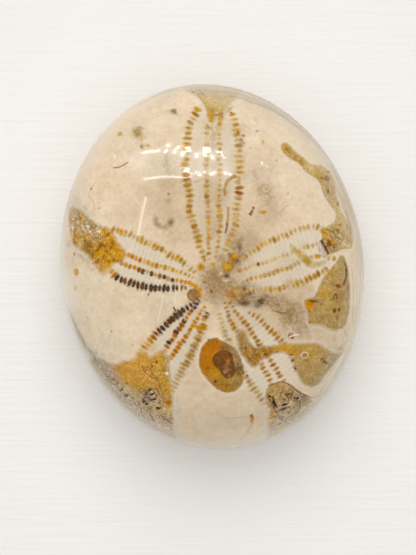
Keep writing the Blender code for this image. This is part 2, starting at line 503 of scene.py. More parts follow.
# Where the infill changes colour: a place, a colour and how far it carries
HOLLOW_TONES = [
    (64, 210, "ash", 6), (75, 213, "tan", 5), (86, 218, "tan", 5), (80, 224, "straw", 5),
    (79, 218, "gold", 3), (92, 222, "flax", 4), (98, 229, "straw", 4), (104, 233, "gold", 4),
    (70, 232, "honey", 4), (74, 236, "gold", 5), (72, 226, "cream", 2), (88, 228, "flax", 3),
    (86, 238, "honey", 5), (94, 241, "olive", 2.5), (97, 233, "tan", 3),
    (80, 245, "straw", 3), (84, 246, "bronze", 3.5),
    (108, 240, "gold", 6), (104, 248, "gold", 7), (112, 254, "gold", 7),
    (120, 257, "gold", 5), (97, 254, "gold", 5), (88, 250, "bronze", 4), (92, 254, "ochre", 3.5),
    (104, 262, "gold", 6), (100, 266, "gold", 4), (104, 272, "straw", 3),
    (124, 368, "saffron", 8), (140, 362, "saffron", 8), (130, 378, "saffron", 8),
    (152, 357, "honey", 8), (145, 370, "saffron", 7), (158, 370, "honey", 6),
    (160, 384, "honey", 6), (166, 390, "honey", 5), (150, 380, "saffron", 6),
    (139, 386, "honey", 5),
    (109, 370, "dun", 6), (100, 364, "ash", 5), (116, 390, "parchment", 7),
    (132, 394, "flax", 7), (148, 396, "drab", 4), (146, 404, "tan", 5),
    (160, 398, "tan", 5), (168, 402, "honey", 4), (136, 406, "parchment", 7),
    (150, 416, "parchment", 8), (160, 412, "straw", 5), (165, 422, "parchment", 6),
    (158, 426, "sand", 6), (168, 431, "sand", 5),
    (146, 418, "sand", 5), (134, 407, "sand", 4), (168, 419, "sepia", 3.5),
    (168, 412, "straw", 5), (126, 402, "parchment", 6), (108, 380, "parchment", 6),
    (283, 393, "olive", 8), (275, 392, "wheat", 6), (290, 405, "tan", 8),
    (283, 415, "parchment", 7), (276, 428, "tan", 7), (271, 416, "honey", 4),
    (302, 414, "parchment", 8), (312, 406, "fog", 7), (290, 426, "flax", 7),
    (302, 399, "sepia", 4.5),
    (243, 345, "khaki", 7), (255, 355, "bronze", 6), (266, 351, "bronze", 6),
    (285, 349, "honey", 6), (295, 349, "brass", 6), (312, 352, "wheat", 8),
    (334, 360, "moss", 7), (314, 373, "olive", 8), (318, 385, "moss", 4),
    (327, 378, "haze", 4), (303, 377, "olive", 6),
    (340, 355, "tan", 5), (300, 365, "olive", 5), (308, 362, "olive", 5),
    (346, 275, "tan", 5), (336, 282, "olive", 6), (328, 292, "wheat", 5), (309, 304, "amber", 4),
    (334, 308, "wheat", 7), (340, 300, "khaki", 5), (318, 314, "olive", 6),
    (347, 300, "tan", 5), (346, 320, "tan", 6), (330, 318, "olive", 5),
    (330, 274, "wheat", 5), (324, 324, "olive", 6),
    (285, 149, "wheat", 5), (298, 161, "wheat", 6), (315, 170, "straw", 4),
    (318, 173, "honey", 3.4), (307, 261, "brass", 3.4), (297, 252, "wheat", 4),
    (322, 180, "wheat", 5), (330, 190, "tan", 7), (337, 208, "flax", 8),
    (337, 226, "straw", 7), (347, 238, "flax", 7), (331, 243, "bronze", 4),
    (324, 234, "honey", 4), (334, 250, "olive", 5), (319, 249, "fog", 5),
    (214, 86, "flax", 8), (192, 88, "buff", 8), (232, 92, "flax", 7),
    (214, 100, "straw", 7), (211, 114, "brass", 5), (221, 116, "brass", 4),
    (209, 343, "copper", 4), (214, 341, "copper", 6), (204, 357, "copper", 10),
    (208, 370, "copper", 5), (212, 377, "brass", 4), (213, 382, "bronze", 5),
    (224, 388, "bronze", 6),
    (238, 382, "khaki", 6), (228, 347, "mud", 4), (212, 372, "ochre", 5),
    (239, 364, "sepia", 5), (235, 353, "sepia", 4.5),
]

# Soft stains, and painted shade along the lower left edge: a place, half sizes, a turn in
# degrees, a colour and a strength
STAINS_AND_SHADE = [
    (214, 283, 12, 14, 0, "sepia", 1.40), (208, 276, 6, 7, 0, "sepia", 0.8),
    (214, 298, 8, 7, 0, "drab", 0.80), (222, 274, 5, 5, 0, "drab", 0.60),
    (230, 284, 6, 6, 0, "sepia", 0.85), (221, 259, 5, 5, 0, "mud", 0.70),
    (236, 262, 8, 12, 20, "mud", 0.95), (234, 245, 7, 9, -10, "drab", 0.95),
    (240, 255, 5, 6, 0, "smoke", 0.55), (232, 294, 9, 7, 0, "bronze", 1.10),
    (240, 299, 7, 5, 0, "mud", 0.75), (244.5, 302.6, 6, 3.4, 5, "smoke", 1.0),
    (248, 293, 10, 7, 10, "mud", 1.10), (261, 301.5, 4, 3.6, 0, "umber", 0.95),
    (257, 293, 6, 5, 0, "smoke", 0.65), (265, 298, 5, 5, 0, "umber", 0.55),
    (256, 303, 8, 4, 0, "smoke", 0.75), (273, 302, 9, 6, 10, "mud", 0.75),
    (231, 304, 4, 3, 0, "rust", 0.55), (245, 285, 7, 3, 5, "smoke", 0.50),
    (281, 306, 8, 7, 15, "sepia", 1.10), (289, 318, 9, 10, 25, "sepia", 1.20),
    (281, 312, 5, 2.4, 0, "umber", 0.60), (298, 318, 9, 11, 0, "drab", 1.10),
    (303, 330, 7, 6, 0, "drab", 0.60), (284, 330, 9, 7, 0, "dun", 0.70),
    (296, 308, 9, 7, 0, "sepia", 0.60), (266, 190, 9, 8, 10, "drab", 0.75),
    (256, 176, 14, 7, 10, "ash", 0.55), (272, 200, 11, 8, 0, "dun", 0.65),
    (240, 226, 10, 10, 0, "dun", 0.45), (163, 221, 11, 8, 0, "dun", 0.50),
    (173.5, 112, 6, 4, -20, "umber", 0.30), (248, 240, 13, 10, -20, "dun", 0.80),
    (235, 330, 10, 12, 0, "tan", 0.40), (230, 236, 5, 7, 0, "drab", 0.60),
    (193, 295, 8, 8, 0, "ochre", 0.35), (213, 122, 7, 9, 0, "sepia", 0.50),
    (213, 138, 5, 14, 0, "ash", 0.60), (226, 192, 4, 16, -10, "drab", 0.45),
    (70, 200, 6, 12, 0, "fog", 0.60), (250, 262, 8, 4, -20, "tan", 0.35),
    (138, 133, 7, 7, 0, "drab", 0.40), (167, 163, 2.5, 8, 0, "drab", 0.60),
    (246, 128, 6, 5, 0, "ash", 0.35), (168, 201, 3, 3, 0, "smoke", 0.50),
    (340, 350, 5, 3, -15, "umber", 0.35), (335, 339, 2, 2, 0, "umber", 0.25),
    (172, 186, 13, 12, 0, "dun", 0.50), (180, 236, 10, 10, 0, "dun", 0.45),
    (196, 310, 8, 5, 0, "umber", 0.30), (120, 176, 16, 10, 30, "blush", 0.25),
    (288, 224, 12, 8, 0, "buff", 0.35), (272, 214, 12, 8, 0, "dun", 0.45),
    (166, 172, 6, 10, 0, "drab", 0.35), (243, 338, 6, 10, -30, "khaki", 0.60),
    (104, 216, 6, 4, 0, "fog", 0.40),
    (213, 190, 8, 40, 0, "dun", 0.55), (213, 235, 7, 18, 0, "dun", 0.55),
    (240, 142, 3, 12, 0, "mud", 0.45), (150, 196, 14, 10, 0, "buff", 0.45),
    (305, 246, 6, 3, -15, "olive", 0.45), (314, 262, 10, 4, -20, "flax", 0.60),
    (322, 208, 4, 6, 0, "peach", 0.50), (290, 282, 5, 3, -10, "bronze", 0.50),
    (97, 356, 11, 4, -45, "pewter", 0.45), (80, 345, 5, 12, 25, "fog", 0.60),
    # Painted shade: the two stone-grey marks here and the ash mark after them, along the lower
    # left edge
    (71, 244, 5, 4, 0, "stone_grey", 0.60), (82, 256, 9, 3, -42, "stone_grey", 0.65),
    (94, 269, 7, 3, -45, "ash", 0.50), (70, 201, 4, 8, -10, "stone_grey", 0.60),
    (84, 208, 8, 3, -35, "ash", 0.45), (175, 414, 4, 34, 2, "fog", 0.75),
    (265, 422, 4, 20, 10, "fog", 0.55), (262, 190, 4, 4, 0, "tan", 0.60),
    (150, 347, 8, 5, -45, "honey", 0.60), (76, 264, 4, 4, 0, "flax", 0.50),
]

# Spots: a place, half sizes, a turn in degrees, a colour, and for some how far the edge
# is blurred
SPOTS = [
    (201, 267.2, 4.0, 4.2, 0, "honey", 0.8), (201, 268, 1.8, 1.6, 0, "bronze", 1.0),
    (212.8, 265.6, 2.6, 2.4, -20, "honey", 0.8), (227.6, 267, 6.2, 5.8, 0, "bronze", 1.2),
    (226.4, 266, 4.2, 3.8, 0, "honey", 1.5), (233.6, 257.6, 5.4, 5.0, 0, "bronze", 1.6),
    (234.6, 255.4, 3.2, 2.6, 0, "honey", 1.2), (240, 270.8, 2.2, 1.8, 0, "ochre", 0.8),
    (236.4, 261, 2.8, 1.8, 20, "char", 1.0), (231, 261.6, 3.0, 2.4, 30, "bronze", 1.6),
    (243, 258, 2.2, 1.6, 0, "brass", 1.6), (229.4, 254.6, 1.6, 1.2, 0, "umber", 0.8),
    (239.6, 247, 1.6, 4.4, 10, "umber", 1.6), (240, 240, 2.6, 1.6, 20, "sepia", 1.6),
    (244.6, 303, 4.6, 2.4, 4, "char", 1.6), (261, 301.6, 3.2, 2.8, 0, "char", 1.6),
    (257.4, 306, 2.4, 1.6, 0, "smoke", 1.6), (266, 296, 2.0, 1.6, 0, "smoke", 1.6),
    (226.8, 276, 3.2, 2.6, 0, "char", 0.9), (224.2, 272.6, 1.2, 1.0, 0, "umber", 0.6),
    (193.2, 295, 5.8, 5.8, 0, "sepia", 0.7), (191.6, 296.6, 2.4, 2.0, 20, "caramel", 1.2),
    (190, 283.2, 3.2, 2.0, -15, "amber", 0.6), (195, 285.6, 3.2, 2.5, -30, "gold", 0.8),
    (199.4, 289.8, 2.3, 2.7, 0, "amber", 0.8), (201, 294.6, 1.8, 2.4, 0, "honey", 0.8),
    (195, 292.4, 1.6, 1.8, 0, "mud", 0.8), (190.6, 292, 1.4, 1.2, 0, "umber", 0.8),
    (195.6, 298, 1.2, 1.4, 0, "umber", 0.8),
    (231.4, 294.4, 4.6, 3.4, 0, "bronze", 1.6), (239, 292, 3.6, 2.8, 0, "wheat", 1.6),
    (211.4, 291.4, 1.1, 1.8, 0, "chestnut", 0.4), (204.4, 260, 1.2, 1.4, 0, "cocoa", 0.4),
    (206, 278, 1.2, 1.2, 0, "honey", 0.6), (204, 282, 1.6, 1.0, 0, "umber", 0.6),
    (221, 273.4, 1.6, 1.3, 0, "pearl", 1.0), (226.6, 280.4, 2.2, 0.9, 0, "pearl", 0.8),
    # Painted glints: the two tiny milk-white spots
    (144.8, 272.6, 0.9, 0.9, 0, "milk", 0.4), (185.2, 319.4, 0.8, 0.8, 0, "milk", 0.4),
    (244.6, 288.8, 2.0, 1.2, 0, "umber", 0.8),
    (155.6, 220, 2.2, 4.0, 10, "drab", 1.8), (158.6, 225.4, 3.4, 2.4, -30, "drab", 1.8),
    (165, 227, 4.0, 2.2, 10, "drab", 1.8), (170.6, 222, 3.2, 4.0, -20, "drab", 2.0),
    (171, 222.6, 1.6, 1.8, 0, "umber", 1.6), (156, 224, 1.4, 1.4, 0, "umber", 1.4),
    (76, 272, 2.6, 3.8, 10, "gold"), (74, 254, 0.9, 1.8, 0, "rust"),
    (119.7, 133.8, 2.6, 2.2, 20, "honey"), (137.4, 132.4, 4.2, 5.0, -10, "tan", 1.8),
    (138.2, 133, 2.0, 2.2, 0, "brass", 1.2), (134, 130.6, 1.2, 2.6, 20, "drab", 1.2),
    (140, 127.6, 2.4, 1.0, -10, "drab", 1.2), (141.6, 139.4, 1.1, 2.6, -10, "straw", 0.8),
    (141.8, 146.4, 2.0, 2.2, 0, "sepia", 1.0), (147, 145.6, 3.4, 1.6, 0, "straw", 1.0),
    (173.5, 111.5, 3.4, 1.8, -30, "sepia", 1.0), (175, 109.6, 1.2, 1.0, 0, "umber", 0.6),
    (168.6, 194, 1.2, 1.2, 0, "umber"), (262.5, 212, 4.4, 1.8, 5, "honey"),
    (253.5, 208, 1.4, 1.4, 0, "rust"), (252, 211.4, 1.2, 1.2, 0, "rust"),
    (250.4, 214, 1.5, 1.3, 0, "rust"), (263, 142, 1.8, 2.4, 0, "straw"),
    (257, 131, 2.0, 1.4, 20, "ash"), (200.8, 328, 5.6, 2.9, 0, "amber"),
    (194.5, 326, 3.4, 1.7, 10, "amber"), (204, 327, 3.4, 2.0, 10, "ochre"),
    (252, 419, 1.9, 4.4, 0, "honey"), (251.4, 416, 1.4, 1.6, 0, "rust"),
    (217.2, 342.3, 1.0, 0.9, 0, "cocoa"), (204.2, 353.3, 1.0, 1.1, 0, "bronze", 0.4),
    (207.7, 368.4, 1.0, 1.2, 0, "cocoa"), (215.5, 381.8, 1.2, 1.4, 0, "bark"),
    (223.2, 348, 3.4, 1.6, 0, "rust", 0.8), (235.2, 356.1, 2.4, 1.6, 0, "caramel", 0.5),
    (247, 375.5, 1.3, 1.1, 0, "chestnut"), (241, 367.5, 1.2, 1.1, 20, "umber", 0.4),
    (238.6, 373, 1.2, 1.3, 0, "rust", 0.4), (239.4, 361, 1.1, 1.0, 0, "mud", 0.5),
    (226.4, 366.6, 1.6, 1.8, -8, "rose", 1.0), (229.4, 369.6, 1.4, 1.1, 0, "caramel", 0.6),
    (226, 371.6, 1.2, 1.0, 0, "rose", 0.6), (231, 359.6, 1.2, 4.2, -8, "rust", 1.0),
    (224.4, 357.4, 2.6, 1.4, 20, "rust", 0.8), (218.4, 356, 1.8, 1.2, 0, "rust", 0.8),
    (228, 361.6, 1.2, 1.6, 0, "caramel", 0.8), (216.4, 361.4, 1.4, 1.6, 0, "cocoa", 0.8),
    (223.4, 362.6, 1.8, 1.2, -30, "cocoa", 0.8), (232.2, 368, 1.0, 2.2, 0, "cocoa", 0.6),
    (219, 358, 3.0, 2.6, 0, "umber", 2.2), (224.6, 372.4, 1.2, 1.6, 30, "rose", 0.6),
    (229, 376, 0.7, 0.6, 0, "blush", 0.4), (220.6, 364.4, 2.4, 1.8, 20, "cocoa", 1.0),
    (230.6, 354.6, 1.6, 1.4, 0, "bark", 0.8), (209.8, 340.2, 2.4, 1.2, -20, "smoke", 0.6),
    (203.2, 365, 0.8, 0.8, 0, "bronze", 0.3), (227.4, 390, 1.6, 1.2, 0, "bronze", 0.6),
    (237.6, 357, 1.0, 0.9, 0, "cocoa", 0.4), (240.6, 360, 0.9, 0.8, 0, "cocoa", 0.4),
    (238, 364, 1.1, 1.0, 0, "rust", 0.4), (241.4, 370.6, 1.2, 1.0, 0, "cocoa", 0.4),
    (237.6, 368.4, 1.0, 0.9, 0, "cocoa", 0.4), (240, 374.6, 1.2, 1.0, 0, "rust", 0.4),
    (243.6, 366, 0.9, 0.8, 0, "cocoa", 0.4), (243.4, 372.6, 0.8, 0.8, 0, "cocoa", 0.4),
    (309.2, 304.4, 3.8, 5.0, -10, "amber", 1.4), (313, 301.2, 4.4, 1.4, -4, "cocoa", 0.2),
    (338, 286, 3.6, 1.8, -12, "rust"), (335.8, 296.6, 2.5, 3.3, 0, "umber"),
    (335.6, 297, 1.3, 1.8, 0, "olive"), (334.6, 310.8, 1.8, 2.3, 0, "umber", 0.6),
    (339.2, 309.8, 1.2, 2.2, -20, "umber", 0.5), (331.4, 300, 1.0, 1.0, 0, "bark"),
    (321.6, 304.6, 1.0, 0.8, 0, "umber"), (337.6, 318, 2.1, 2.8, 0, "sepia", 0.4),
    (324, 293, 4.0, 3.4, 20, "honey", 3.0), (310, 322.6, 1.8, 1.4, 0, "ochre"),
    (330, 243.6, 3.4, 2.6, 30, "rust"), (333.6, 242, 2.4, 2.0, 0, "honey"),
    (334, 247.4, 1.4, 1.2, 0, "bark"), (323, 230.6, 2.2, 2.0, 0, "amber"),
    (318, 256.4, 1.9, 2.2, 0, "amber"), (334.6, 258.5, 2.0, 2.4, 0, "honey"),
    (337.6, 230, 1.8, 1.6, 0, "ochre"), (340, 224.6, 1.8, 1.4, 0, "ochre"),
    (328, 171.6, 2.0, 1.5, 10, "ochre"), (327.6, 178, 2.8, 2.6, 0, "cocoa", 0.4),
    (328, 177.6, 1.4, 1.2, 0, "olive", 0.4), (322.4, 178, 1.8, 1.5, 0, "rust", 0.4),
    (286.6, 149, 1.7, 2.0, 0, "ochre", 0.4), (288.8, 152.4, 1.1, 1.2, 0, "bronze", 0.4),
    (328.4, 191, 1.0, 2.0, 0, "umber"), (338, 204, 1.2, 1.8, -20, "ochre"),
    (327, 186, 1.0, 1.0, 0, "umber"), (335, 198, 0.9, 0.9, 0, "umber"),
    (291.4, 355.4, 2.4, 1.5, 0, "chestnut", 0.3), (292.6, 360.4, 1.8, 1.4, 0, "chestnut", 0.3),
    (292.4, 356.8, 1.6, 0.5, 0, "milk", 0.2),
    (295.4, 368.4, 1.3, 1.4, 0, "bark"), (307, 360.4, 2.2, 1.6, -40, "ochre"),
    (324, 362, 1.2, 1.4, 0, "umber"), (325.8, 362.8, 1.2, 1.0, 0, "slate"),
    (321.6, 360, 0.9, 1.2, 0, "umber"), (311, 355.4, 2.4, 1.8, -20, "honey"),
    (266, 354.6, 2.4, 2.0, 0, "umber"), (256.4, 354.8, 1.6, 1.4, 0, "umber"),
    (277, 352.4, 1.4, 1.0, 0, "umber"), (247, 352.6, 2.0, 1.8, 0, "ochre"),
    (258, 345.2, 2.6, 1.5, -10, "rust"), (245.6, 348, 1.4, 1.4, 0, "umber"),
    (291.4, 334.6, 2.6, 1.5, 0, "umber"), (292.4, 338, 2.0, 1.2, 0, "umber"),
    (289.6, 336, 1.4, 2.2, 0, "ochre"), (273.6, 402, 1.2, 3.0, -10, "soot"),
    (275.4, 405.4, 1.2, 2.4, -35, "bark"), (284.6, 404.8, 3.4, 1.0, 12, "soot"),
    (283.6, 409, 4.0, 0.9, 14, "slate"), (297.6, 398.4, 1.6, 1.2, 0, "bark"),
    (294, 398.2, 1.0, 1.0, 0, "bark"), (301.4, 398, 0.9, 1.1, 0, "umber"),
    (288.6, 394.6, 3.0, 1.2, 20, "umber"), (291.6, 391.6, 3.6, 1.3, 20, "moss"),
    (285, 400, 1.2, 0.9, 0, "umber"), (289, 412.4, 1.6, 1.0, 0, "umber"),
    (280, 424, 1.8, 0.8, 25, "soot"), (269.6, 396.6, 1.8, 1.0, 20, "bark"),
    (275, 402.8, 0.9, 0.9, 0, "soot"), (272, 391, 1.2, 1.2, 0, "honey"),
    (150, 390, 1.8, 1.3, 30, "soot"), (152, 394.6, 3.2, 1.1, 30, "soot"),
    (148.6, 391, 1.6, 1.0, 0, "soot"), (146, 394, 1.8, 1.1, 40, "soot"),
    (143.6, 401.4, 2.2, 1.6, 30, "slate"), (146.6, 404, 1.8, 1.2, 10, "soot"),
    (142.6, 399, 1.4, 1.4, 0, "soot"), (144.6, 398, 0.9, 0.9, 0, "bark"),
    (154.6, 399.4, 1.6, 1.0, 20, "bark"), (158, 408.4, 2.4, 1.6, 5, "slate"),
    (157, 408, 1.3, 1.1, 0, "soot"), (150, 408.6, 2.2, 0.9, 15, "rust"),
    (121.4, 390, 2.6, 1.3, 40, "slate"), (126.4, 395.6, 2.8, 1.3, 35, "slate"),
    (132.4, 398, 1.3, 1.0, 20, "bark"), (110, 381, 1.0, 0.8, 0, "umber"),
    (117, 383.6, 1.8, 0.9, 45, "slate"), (114, 374, 0.9, 0.9, 0, "umber"),
    (113.6, 379, 2.0, 0.8, 50, "umber"), (108, 376.6, 1.6, 0.8, 50, "umber"),
    (119.6, 386, 1.0, 0.8, 0, "chalk"), (128, 398, 1.2, 0.8, 0, "chalk"),
    (112, 376, 1.0, 1.2, 0, "chalk"), (100, 366, 1.4, 2, 20, "pearl"),
    (126.4, 384, 0.9, 0.8, 0, "umber"), (156.4, 362.4, 1.1, 1.6, 10, "umber"),
    (152.2, 366.2, 1.2, 1.0, -20, "umber"), (165.4, 390.4, 1.4, 1.0, 30, "umber"),
    (168.6, 402.4, 3.0, 2.4, 0, "ochre"), (167, 373.6, 1.5, 1.7, 0, "milk"),
    (104, 246, 1.6, 1.2, 0, "rust"), (111, 247.6, 1.8, 1.2, 30, "rust"),
    (93, 254.4, 1.8, 0.9, 50, "umber"), (97, 250, 2.4, 0.9, 30, "umber"),
    (100, 246, 3.2, 1.3, 50, "cocoa", 0.8), (107, 251.6, 2.8, 1.2, -30, "rust", 1.0),
    (112.6, 243, 1.3, 3.0, 20, "rust", 1.0), (97, 261.6, 3.0, 1.2, 45, "umber", 0.8),
    (118, 261, 3.2, 1.1, 10, "umber", 1.0), (88, 244.6, 3.0, 1.0, -30, "umber", 0.8),
    (103, 257, 1.2, 2.6, -20, "rust", 0.8), (108, 234.4, 2.4, 1.0, 40, "umber", 0.8),
    (109, 261, 2.6, 0.9, 10, "umber"), (113.4, 259.4, 1.4, 1.0, -30, "umber"),
    (84.6, 240.6, 1.0, 1.6, 0, "umber"), (75, 242.6, 1.8, 1.0, 20, "bark"),
    # The milk-white flecks in the left patch: pale crystals with painted sparkle
    (69, 222, 0.9, 1.4, 20, "milk"), (68.6, 228.6, 0.8, 1.2, 0, "milk"),
    (72.6, 219, 0.7, 0.9, 0, "milk"), (81.4, 239.4, 1.0, 0.8, 0, "milk"),
    (91.6, 233.4, 0.8, 0.8, 0, "milk"), (86.6, 222.4, 0.9, 0.7, 0, "milk"),
    (88, 226.6, 1.6, 1.5, 0, "milk"), (90.6, 229.6, 1.0, 1.0, 0, "umber"),
    (84.4, 224, 1.0, 0.8, 0, "bark"), (97.4, 237.8, 1.4, 0.8, 0, "umber"),
    (99, 231.6, 1.4, 1.2, 0, "milk"), (80, 218, 1.6, 2.2, 10, "ochre"),
    (76.6, 236.6, 1.4, 1.2, 0, "ochre"), (103.6, 229, 1.4, 2.2, 0, "ochre"),
    (112.6, 229.8, 1.6, 1.4, 0, "ochre"), (107, 238, 1.6, 1.0, 0, "straw"),
    (119.7, 308, 1.8, 0.9, -50, "ash"), (111.4, 331.4, 0.9, 0.8, 0, "slate"),
    (86.5, 317.3, 0.9, 0.8, 0, "umber"), (132, 345, 1.6, 0.9, -30, "tan"),
    (148.5, 294.4, 1.0, 1.3, 0, "umber"), (91, 188.6, 0.8, 1.6, 10, "umber"),
    (99, 208, 1.2, 0.7, 0, "umber"), (114.5, 156, 1.2, 3.0, 20, "milk"),
    (75, 288, 1.6, 3.0, 0, "straw"), (309, 195, 0.9, 0.9, 0, "ash"),
    (288, 193, 1.1, 1.5, 0, "ash"), (276.6, 160, 0.9, 0.8, 0, "drab"),
    (250.6, 148, 0.8, 0.8, 0, "umber"), (251, 102.4, 1.4, 0.9, 10, "ash"),
    (134, 156, 0.7, 0.7, 0, "ash"), (170, 90, 0.9, 0.7, 0, "umber"),
    (193, 92, 1.6, 0.8, 20, "umber"), (199, 89.4, 1.2, 0.7, 0, "umber"),
    (205, 90.4, 1.0, 0.7, 0, "umber"), (217, 92, 1.6, 0.7, -10, "umber"),
    (226, 89.6, 1.2, 0.6, 0, "umber"), (213, 98.4, 1.6, 0.8, 40, "olive"),
    (232, 96.4, 1.4, 1.0, 0, "honey"), (231, 112.4, 1.8, 1.2, 0, "ochre"),
    (209.6, 114, 2.2, 3.4, 0, "honey"), (211, 120.4, 2.4, 1.8, 0, "honey"),
    (222, 112.6, 1.0, 1.0, 0, "umber"), (215.6, 114.6, 3.2, 1.0, -6, "bronze", 0.5),
    (220.2, 114.6, 2.6, 1.8, 0, "brass", 0.6),
    (219.8, 119, 2.2, 2.6, 0, "honey", 0.5), (219.4, 124.6, 1.9, 1.9, 0, "honey", 0.5),
    (197.4, 109.8, 3.8, 2.1, 2, "honey", 0.4), (207.2, 125.4, 1.8, 1.5, 0, "honey", 0.5),
    (243.4, 135.6, 1.8, 1.4, 0, "khaki", 0.8), (241, 139.6, 1.8, 1.2, 0, "bronze", 0.6),
    (243.4, 142.8, 1.6, 1.2, 0, "khaki", 0.8), (238, 132, 1.4, 1.2, 0, "rust", 0.4),
    (240.6, 146, 2.2, 1.4, 0, "khaki", 0.8),
]

# Thin lines: their points, their width and a colour
LINES = [
    ([(115, 167.5), (120, 166.6), (126.5, 163)], 1.1, "umber"),
    ([(94, 184), (90, 190), (89, 196), (93, 201), (94, 208)], 0.8, "flax"),
    ([(226, 419), (236, 418), (247, 417)], 0.8, "ash"),
    ([(252, 425), (246, 434), (241, 440), (236, 445)], 1.2, "tan"),
    ([(246, 430), (251, 434), (254.5, 434)], 0.8, "tan"),
    ([(287, 206), (282, 211), (276, 214)], 0.9, "ash"),
    ([(308, 324), (312, 331), (313.5, 337), (313.5, 341)], 0.4, "pearl"),
    ([(309, 325.6), (319, 325.2), (328, 329.6), (337, 331.4)], 0.8, "moss"),
    ([(288, 325), (291, 329), (295, 333.4)], 0.3, "pearl"),
    ([(291.4, 336.4), (294, 335.6), (296.8, 335)], 1.1, "milk"),
    ([(275, 311), (280, 312.6), (284, 313)], 1.0, "umber"),
    ([(327.6, 229.6), (333, 232), (337, 236), (342, 240)], 0.8, "cocoa"),
    ([(334, 229), (341, 233), (349, 241)], 0.5, "umber"),
    ([(322.4, 242), (325.2, 247), (327.8, 252.4)], 2.6, "bark"),
    ([(345.5, 265), (346.4, 268)], 1.6, "chestnut"),
    ([(346.4, 268), (346.8, 273), (346, 279), (344.4, 283)], 3.2, "cocoa"),
    ([(349, 221), (350.6, 226), (351, 232)], 1.4, "slate"),
    ([(346, 213), (348, 218), (349, 222)], 0.9, "slate"),
    ([(352, 268), (353.4, 285), (353.4, 303), (352.4, 320)], 0.8, "moss"),
    ([(268, 395), (270, 402), (274, 409), (281, 419), (288.6, 423.6), (296, 422)],
     1.0, "char"),
    ([(273, 398), (274, 402), (276.6, 407)], 1.6, "bark"),
    ([(270, 385.6), (281, 382), (290, 385), (297, 391), (304, 394.6), (312, 398)],
     0.9, "cocoa"),
    ([(300, 402), (299.6, 408), (296, 414)], 0.9, "slate"),
    ([(286, 395), (288, 397.6), (291.6, 396.6), (292.6, 392.6)], 1.2, "bark"),
    ([(277, 411), (283, 410.4), (290, 407)], 1.0, "slate"),
    ([(281, 416), (288, 418), (294, 414)], 0.8, "umber"),
    ([(310, 398), (318, 396.6), (326, 391)], 0.8, "tan"),
    ([(301, 354.6), (304, 352.2), (308, 353.4), (307.4, 357.6), (303, 358.6),
      (301.2, 355.4)], 0.6, "cream"),
    ([(302.6, 357), (304.6, 354), (306.4, 356)], 1.0, "umber"),
    ([(323, 359), (326, 362), (328, 364)], 0.9, "slate"),
    ([(105, 375), (109, 380), (114, 385), (120, 390)], 0.9, "umber"),
    ([(79, 331), (82, 336), (84, 341)], 1.4, "drab"),
    ([(143, 367), (149, 368), (152, 373)], 0.9, "rust"),
    ([(144, 371), (148, 375), (152, 378)], 0.9, "umber"),
    ([(157, 379), (159, 383), (160, 387)], 0.9, "umber"),
    ([(157, 390), (159, 393)], 1.2, "umber"),
    ([(141, 409), (141.6, 414), (144, 417)], 1.0, "slate"),
    ([(147, 411), (151, 416), (153, 420)], 0.9, "umber"),
    ([(161, 416), (166, 420), (171, 423)], 1.0, "umber"),
    ([(147, 398), (152, 400), (156, 397)], 0.9, "bark"),
    ([(226, 231), (226.8, 227), (227.4, 222)], 2.2, "chestnut"),
    ([(227.4, 222), (228.2, 216), (228.2, 209)], 2.4, "caramel"),
    ([(224.8, 193), (224.6, 188), (226, 184)], 2.4, "bronze"),
    ([(226, 184.4), (227.6, 181), (230.6, 178.4), (234, 176.6)], 3.4, "bronze"),
    ([(196, 181.5), (202, 178.8), (208, 177)], 1.2, "tan"),
    ([(184, 281.6), (190, 283.6), (196, 287), (199.6, 291), (200.6, 296)], 2.0, "amber"),
    ([(193, 289.4), (197.6, 292), (198.8, 296.4), (196, 300.2), (191, 300.4), (187.8, 296.4),
      (188.6, 291.6), (193, 289.4)], 1.1, "chestnut"),
    ([(174.4, 309), (176.6, 312.6), (179.4, 315.6)], 1.4, "bark"),
    ([(145.4, 199), (142, 214), (138.4, 233)], 2.4, "glow"),
    ([(119, 174), (128, 186), (140, 206)], 0.8, "pearl"),
    ([(163, 296), (161, 307), (158, 320)], 1.0, "chalk"),
    ([(176, 293), (175, 303)], 0.9, "chalk"),
    (NUCLEUS + NUCLEUS[:1], 1.2, "cocoa"),
    ([(221, 367), (222.6, 373), (227, 377)], 0.9, "cocoa"),
    ([(225, 364), (228.6, 366.4), (230, 371), (228, 374.4)], 0.8, "cocoa"),
    ([(218, 356), (223, 359), (224, 364)], 0.7, "cocoa"),
    # A pale layer at the lower right edge, with a painted glint along it
    ([(340, 361), (332, 374), (319, 390)], 1.4, "milk"),
    ([(342, 362.4), (334, 375.4), (321, 391)], 0.8, "rose"),
    ([(346, 331.6), (347.4, 338), (344.4, 344), (339, 349)], 0.8, "ash"),
    ([(250, 97), (262, 101.6), (275, 108), (289, 116)], 0.8, "char"),
    ([(284, 112), (300, 122.6), (314, 136), (326, 150), (336, 165)], 0.9, "slate"),
    ([(330, 160), (338, 174), (344, 190)], 0.9, "slate"),
    ([(161.6, 355), (154, 355.6), (148, 356.4)], 0.9, "tan"),
    ([(166, 157), (167, 163), (168, 169)], 1.6, "ash"),
    ([(79, 256), (84, 260), (82, 263)], 0.9, "straw"),
    ([(343, 327), (345, 334), (341, 345)], 0.7, "ash"),
    ([(330, 167), (334, 175), (337, 183)], 0.8, "milk"),
    ([(197, 94), (202, 99.6), (206.4, 106), (208.6, 112)], 2.4, "wheat"),
    ([(236, 97), (229, 104), (223.6, 111)], 1.6, "straw"),
    ([(199, 90), (204, 95)], 0.9, "umber"),
]
